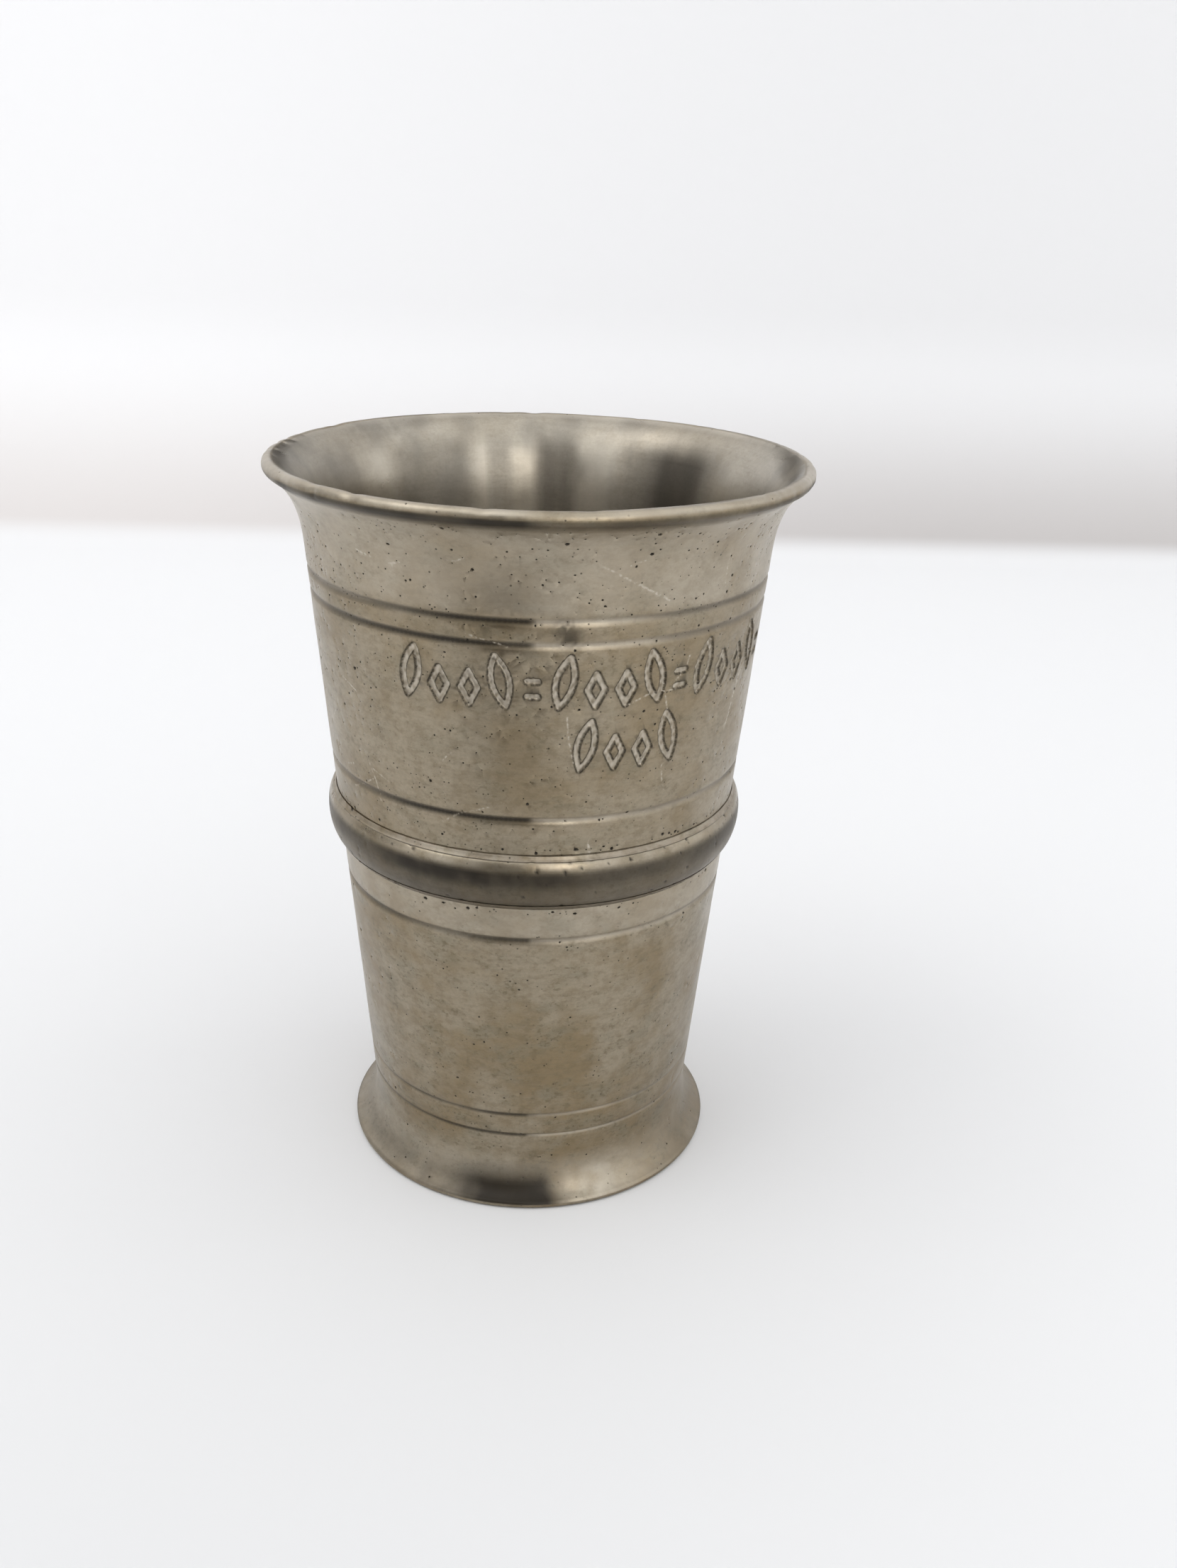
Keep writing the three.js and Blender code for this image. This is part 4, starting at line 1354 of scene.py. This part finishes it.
def build_world():
    """Soft room light, brighter behind to the right."""
    world = bpy.data.worlds.new("soft room")
    world.use_nodes = True
    n = Nodes(world.node_tree)
    axes = n.add("ShaderNodeSeparateXYZ")
    n.link(n.add("ShaderNodeTexCoord").outputs["Generated"], axes.inputs[0])
    turn = n.math("ARCTAN2", axes.outputs["X"], n.math("MULTIPLY", axes.outputs["Y"], -1.0))
    rise = n.math("ARCSINE", axes.outputs["Z"])

    bright = 1.0
    for direction, (low, high) in ((turn, BRIGHT_TURNS), (rise, BRIGHT_RISES)):
        for edge, side in ((low, 1), (high, -1)):
            start, end = math.radians(edge - BRIGHT_EDGE), math.radians(edge + BRIGHT_EDGE)
            ease = n.range(direction, start, end, 0.5 - side / 2, 0.5 + side / 2)
            bright = n.math("MULTIPLY", bright, ease)

    strength = n.math("ADD", 1.14, n.math("MULTIPLY", rise, 0.12))
    strength = n.math("ADD", strength, n.math("MULTIPLY", bright, 0.8))
    background = world.node_tree.nodes["Background"]
    n.link(strength, background.inputs["Strength"])
    background.inputs["Color"].default_value = (0.98, 0.99, 1.0, 1)
    bpy.context.scene.world = world


DARK, GREY, WARM = (0.03, 0.025, 0.02), (0.2, 0.2, 0.2), (1, 0.97, 0.92)
# Name, degrees round the cup, distance from its axis, ends across, ends up, glow, colour, and
# whether the card keeps light off the table.
STUDIO_CARDS = (
    ("dark_card", 0, 0.13, (-0.08, 0.003), (0.0, 0.16), 0.0, DARK, True),
    ("bright_card", 0, 0.13, (0.006, 0.06), (0.06, 0.16), 2.2, WARM, False),
    ("side_card", -112, 0.6, (-0.45, 0.45), (0.0, 0.7), 1.6, GREY, False),
    ("back_card", 180, 0.19, (-0.012, 0.04), (0.0, 0.16), 0.0, DARK, False),
    ("back_strip", 180, 0.19, (-0.045, -0.03), (0.0, 0.16), 0.0, DARK, False),
)


def studio_card(name, turn, away, across, up, glow, tint, blocks):
    """An upright card at an angle round the cup. The metal mirrors it, and the camera doesn't see it."""
    c, s = math.cos(math.radians(turn)), math.sin(math.radians(turn))
    corners = ((across[0], up[0]), (across[1], up[0]), (across[1], up[1]), (across[0], up[1]))
    verts = [(away * s + x * c, x * s - away * c, z) for x, z in corners]
    mesh = bpy.data.meshes.new(name)
    mesh.from_pydata(verts, [], [(0, 1, 2, 3)])
    n = Nodes.material(name)
    n.shader.inputs["Base Color"].default_value = rgba(tint)
    n.shader.inputs["Roughness"].default_value = 0.9
    n.shader.inputs["Emission Color"].default_value = rgba(tint)
    n.shader.inputs["Emission Strength"].default_value = glow
    mesh.materials.append(n.made)
    card = add_object(name, mesh)
    card.visible_camera = False
    card.visible_diffuse = card.visible_shadow = blocks


CAMERA_TURNS = (22.564, 2.243, 1.838)  # degrees down, to the right and rolled
CAMERA_PLACE = (0, -0.1167, 0.0806)


def build_camera():
    """Camera a hand's breadth away, above the lip and looking down at the cup."""
    pitch, yaw, roll = (math.radians(a) for a in CAMERA_TURNS)
    forward = Vector((math.sin(yaw) * math.cos(pitch), math.cos(yaw) * math.cos(pitch), -math.sin(pitch)))
    right = forward.cross(Vector((0, 0, 1))).normalized()
    up = right.cross(forward)
    side = right * math.cos(roll) + up * math.sin(roll)
    top = up * math.cos(roll) - right * math.sin(roll)
    data = bpy.data.cameras.new("camera")
    data.sensor_width = 36
    data.lens = 33.94
    data.clip_start = 0.005
    camera = add_object("camera", data)
    turn = Matrix((side, top, -forward)).transposed()
    camera.matrix_world = Matrix.Translation(CAMERA_PLACE) @ turn.to_4x4()
    bpy.context.scene.camera = camera


class BUILD_OT_stage(bpy.types.Operator):
    """Make the table, the wall, the lights and the camera"""

    bl_idname = "pewter_cup.stage"
    bl_label = "Stage"

    def execute(self, context):
        build_sweep(context.scene.cup_finish)
        build_world()
        build_lamp()
        for card in STUDIO_CARDS:
            studio_card(*card)
        build_camera()
        context.scene.view_settings.view_transform = "Standard"
        return {"FINISHED"}


OPERATORS = (
    BUILD_OT_upper_barrel,
    BUILD_OT_lower_barrel,
    BUILD_OT_waist_band,
    BUILD_OT_base_disc,
    BUILD_OT_solder,
    BUILD_OT_stage,
)


class VIEW3D_PT_pewter_cup(bpy.types.Panel):
    """Lists the pieces of the cup, with the sizes and colours that can be changed"""

    bl_idname = "VIEW3D_PT_pewter_cup"
    bl_label = "Pewter cup"
    bl_space_type = "VIEW_3D"
    bl_region_type = "UI"
    bl_category = "Pewter cup"

    def draw(self, context):
        for operator in OPERATORS:
            self.layout.operator(operator.bl_idname)
        for group in cup_settings(context):
            box = self.layout.box()
            for key in group.__annotations__:
                box.prop(group, key)


CLASSES = (CupForm, CupOrnament, CupFinish, *OPERATORS, VIEW3D_PT_pewter_cup)


def register():
    for item in CLASSES:
        bpy.utils.register_class(item)
    bpy.types.Scene.cup_form = PointerProperty(type=CupForm)
    bpy.types.Scene.cup_ornament = PointerProperty(type=CupOrnament)
    bpy.types.Scene.cup_finish = PointerProperty(type=CupFinish)


def unregister():
    del bpy.types.Scene.cup_finish
    del bpy.types.Scene.cup_ornament
    del bpy.types.Scene.cup_form
    for item in reversed(CLASSES):
        bpy.utils.unregister_class(item)


def main():
    register()
    for operator in OPERATORS:
        section, name = operator.bl_idname.split(".")
        getattr(getattr(bpy.ops, section), name)()


if __name__ == "__main__":
    main()
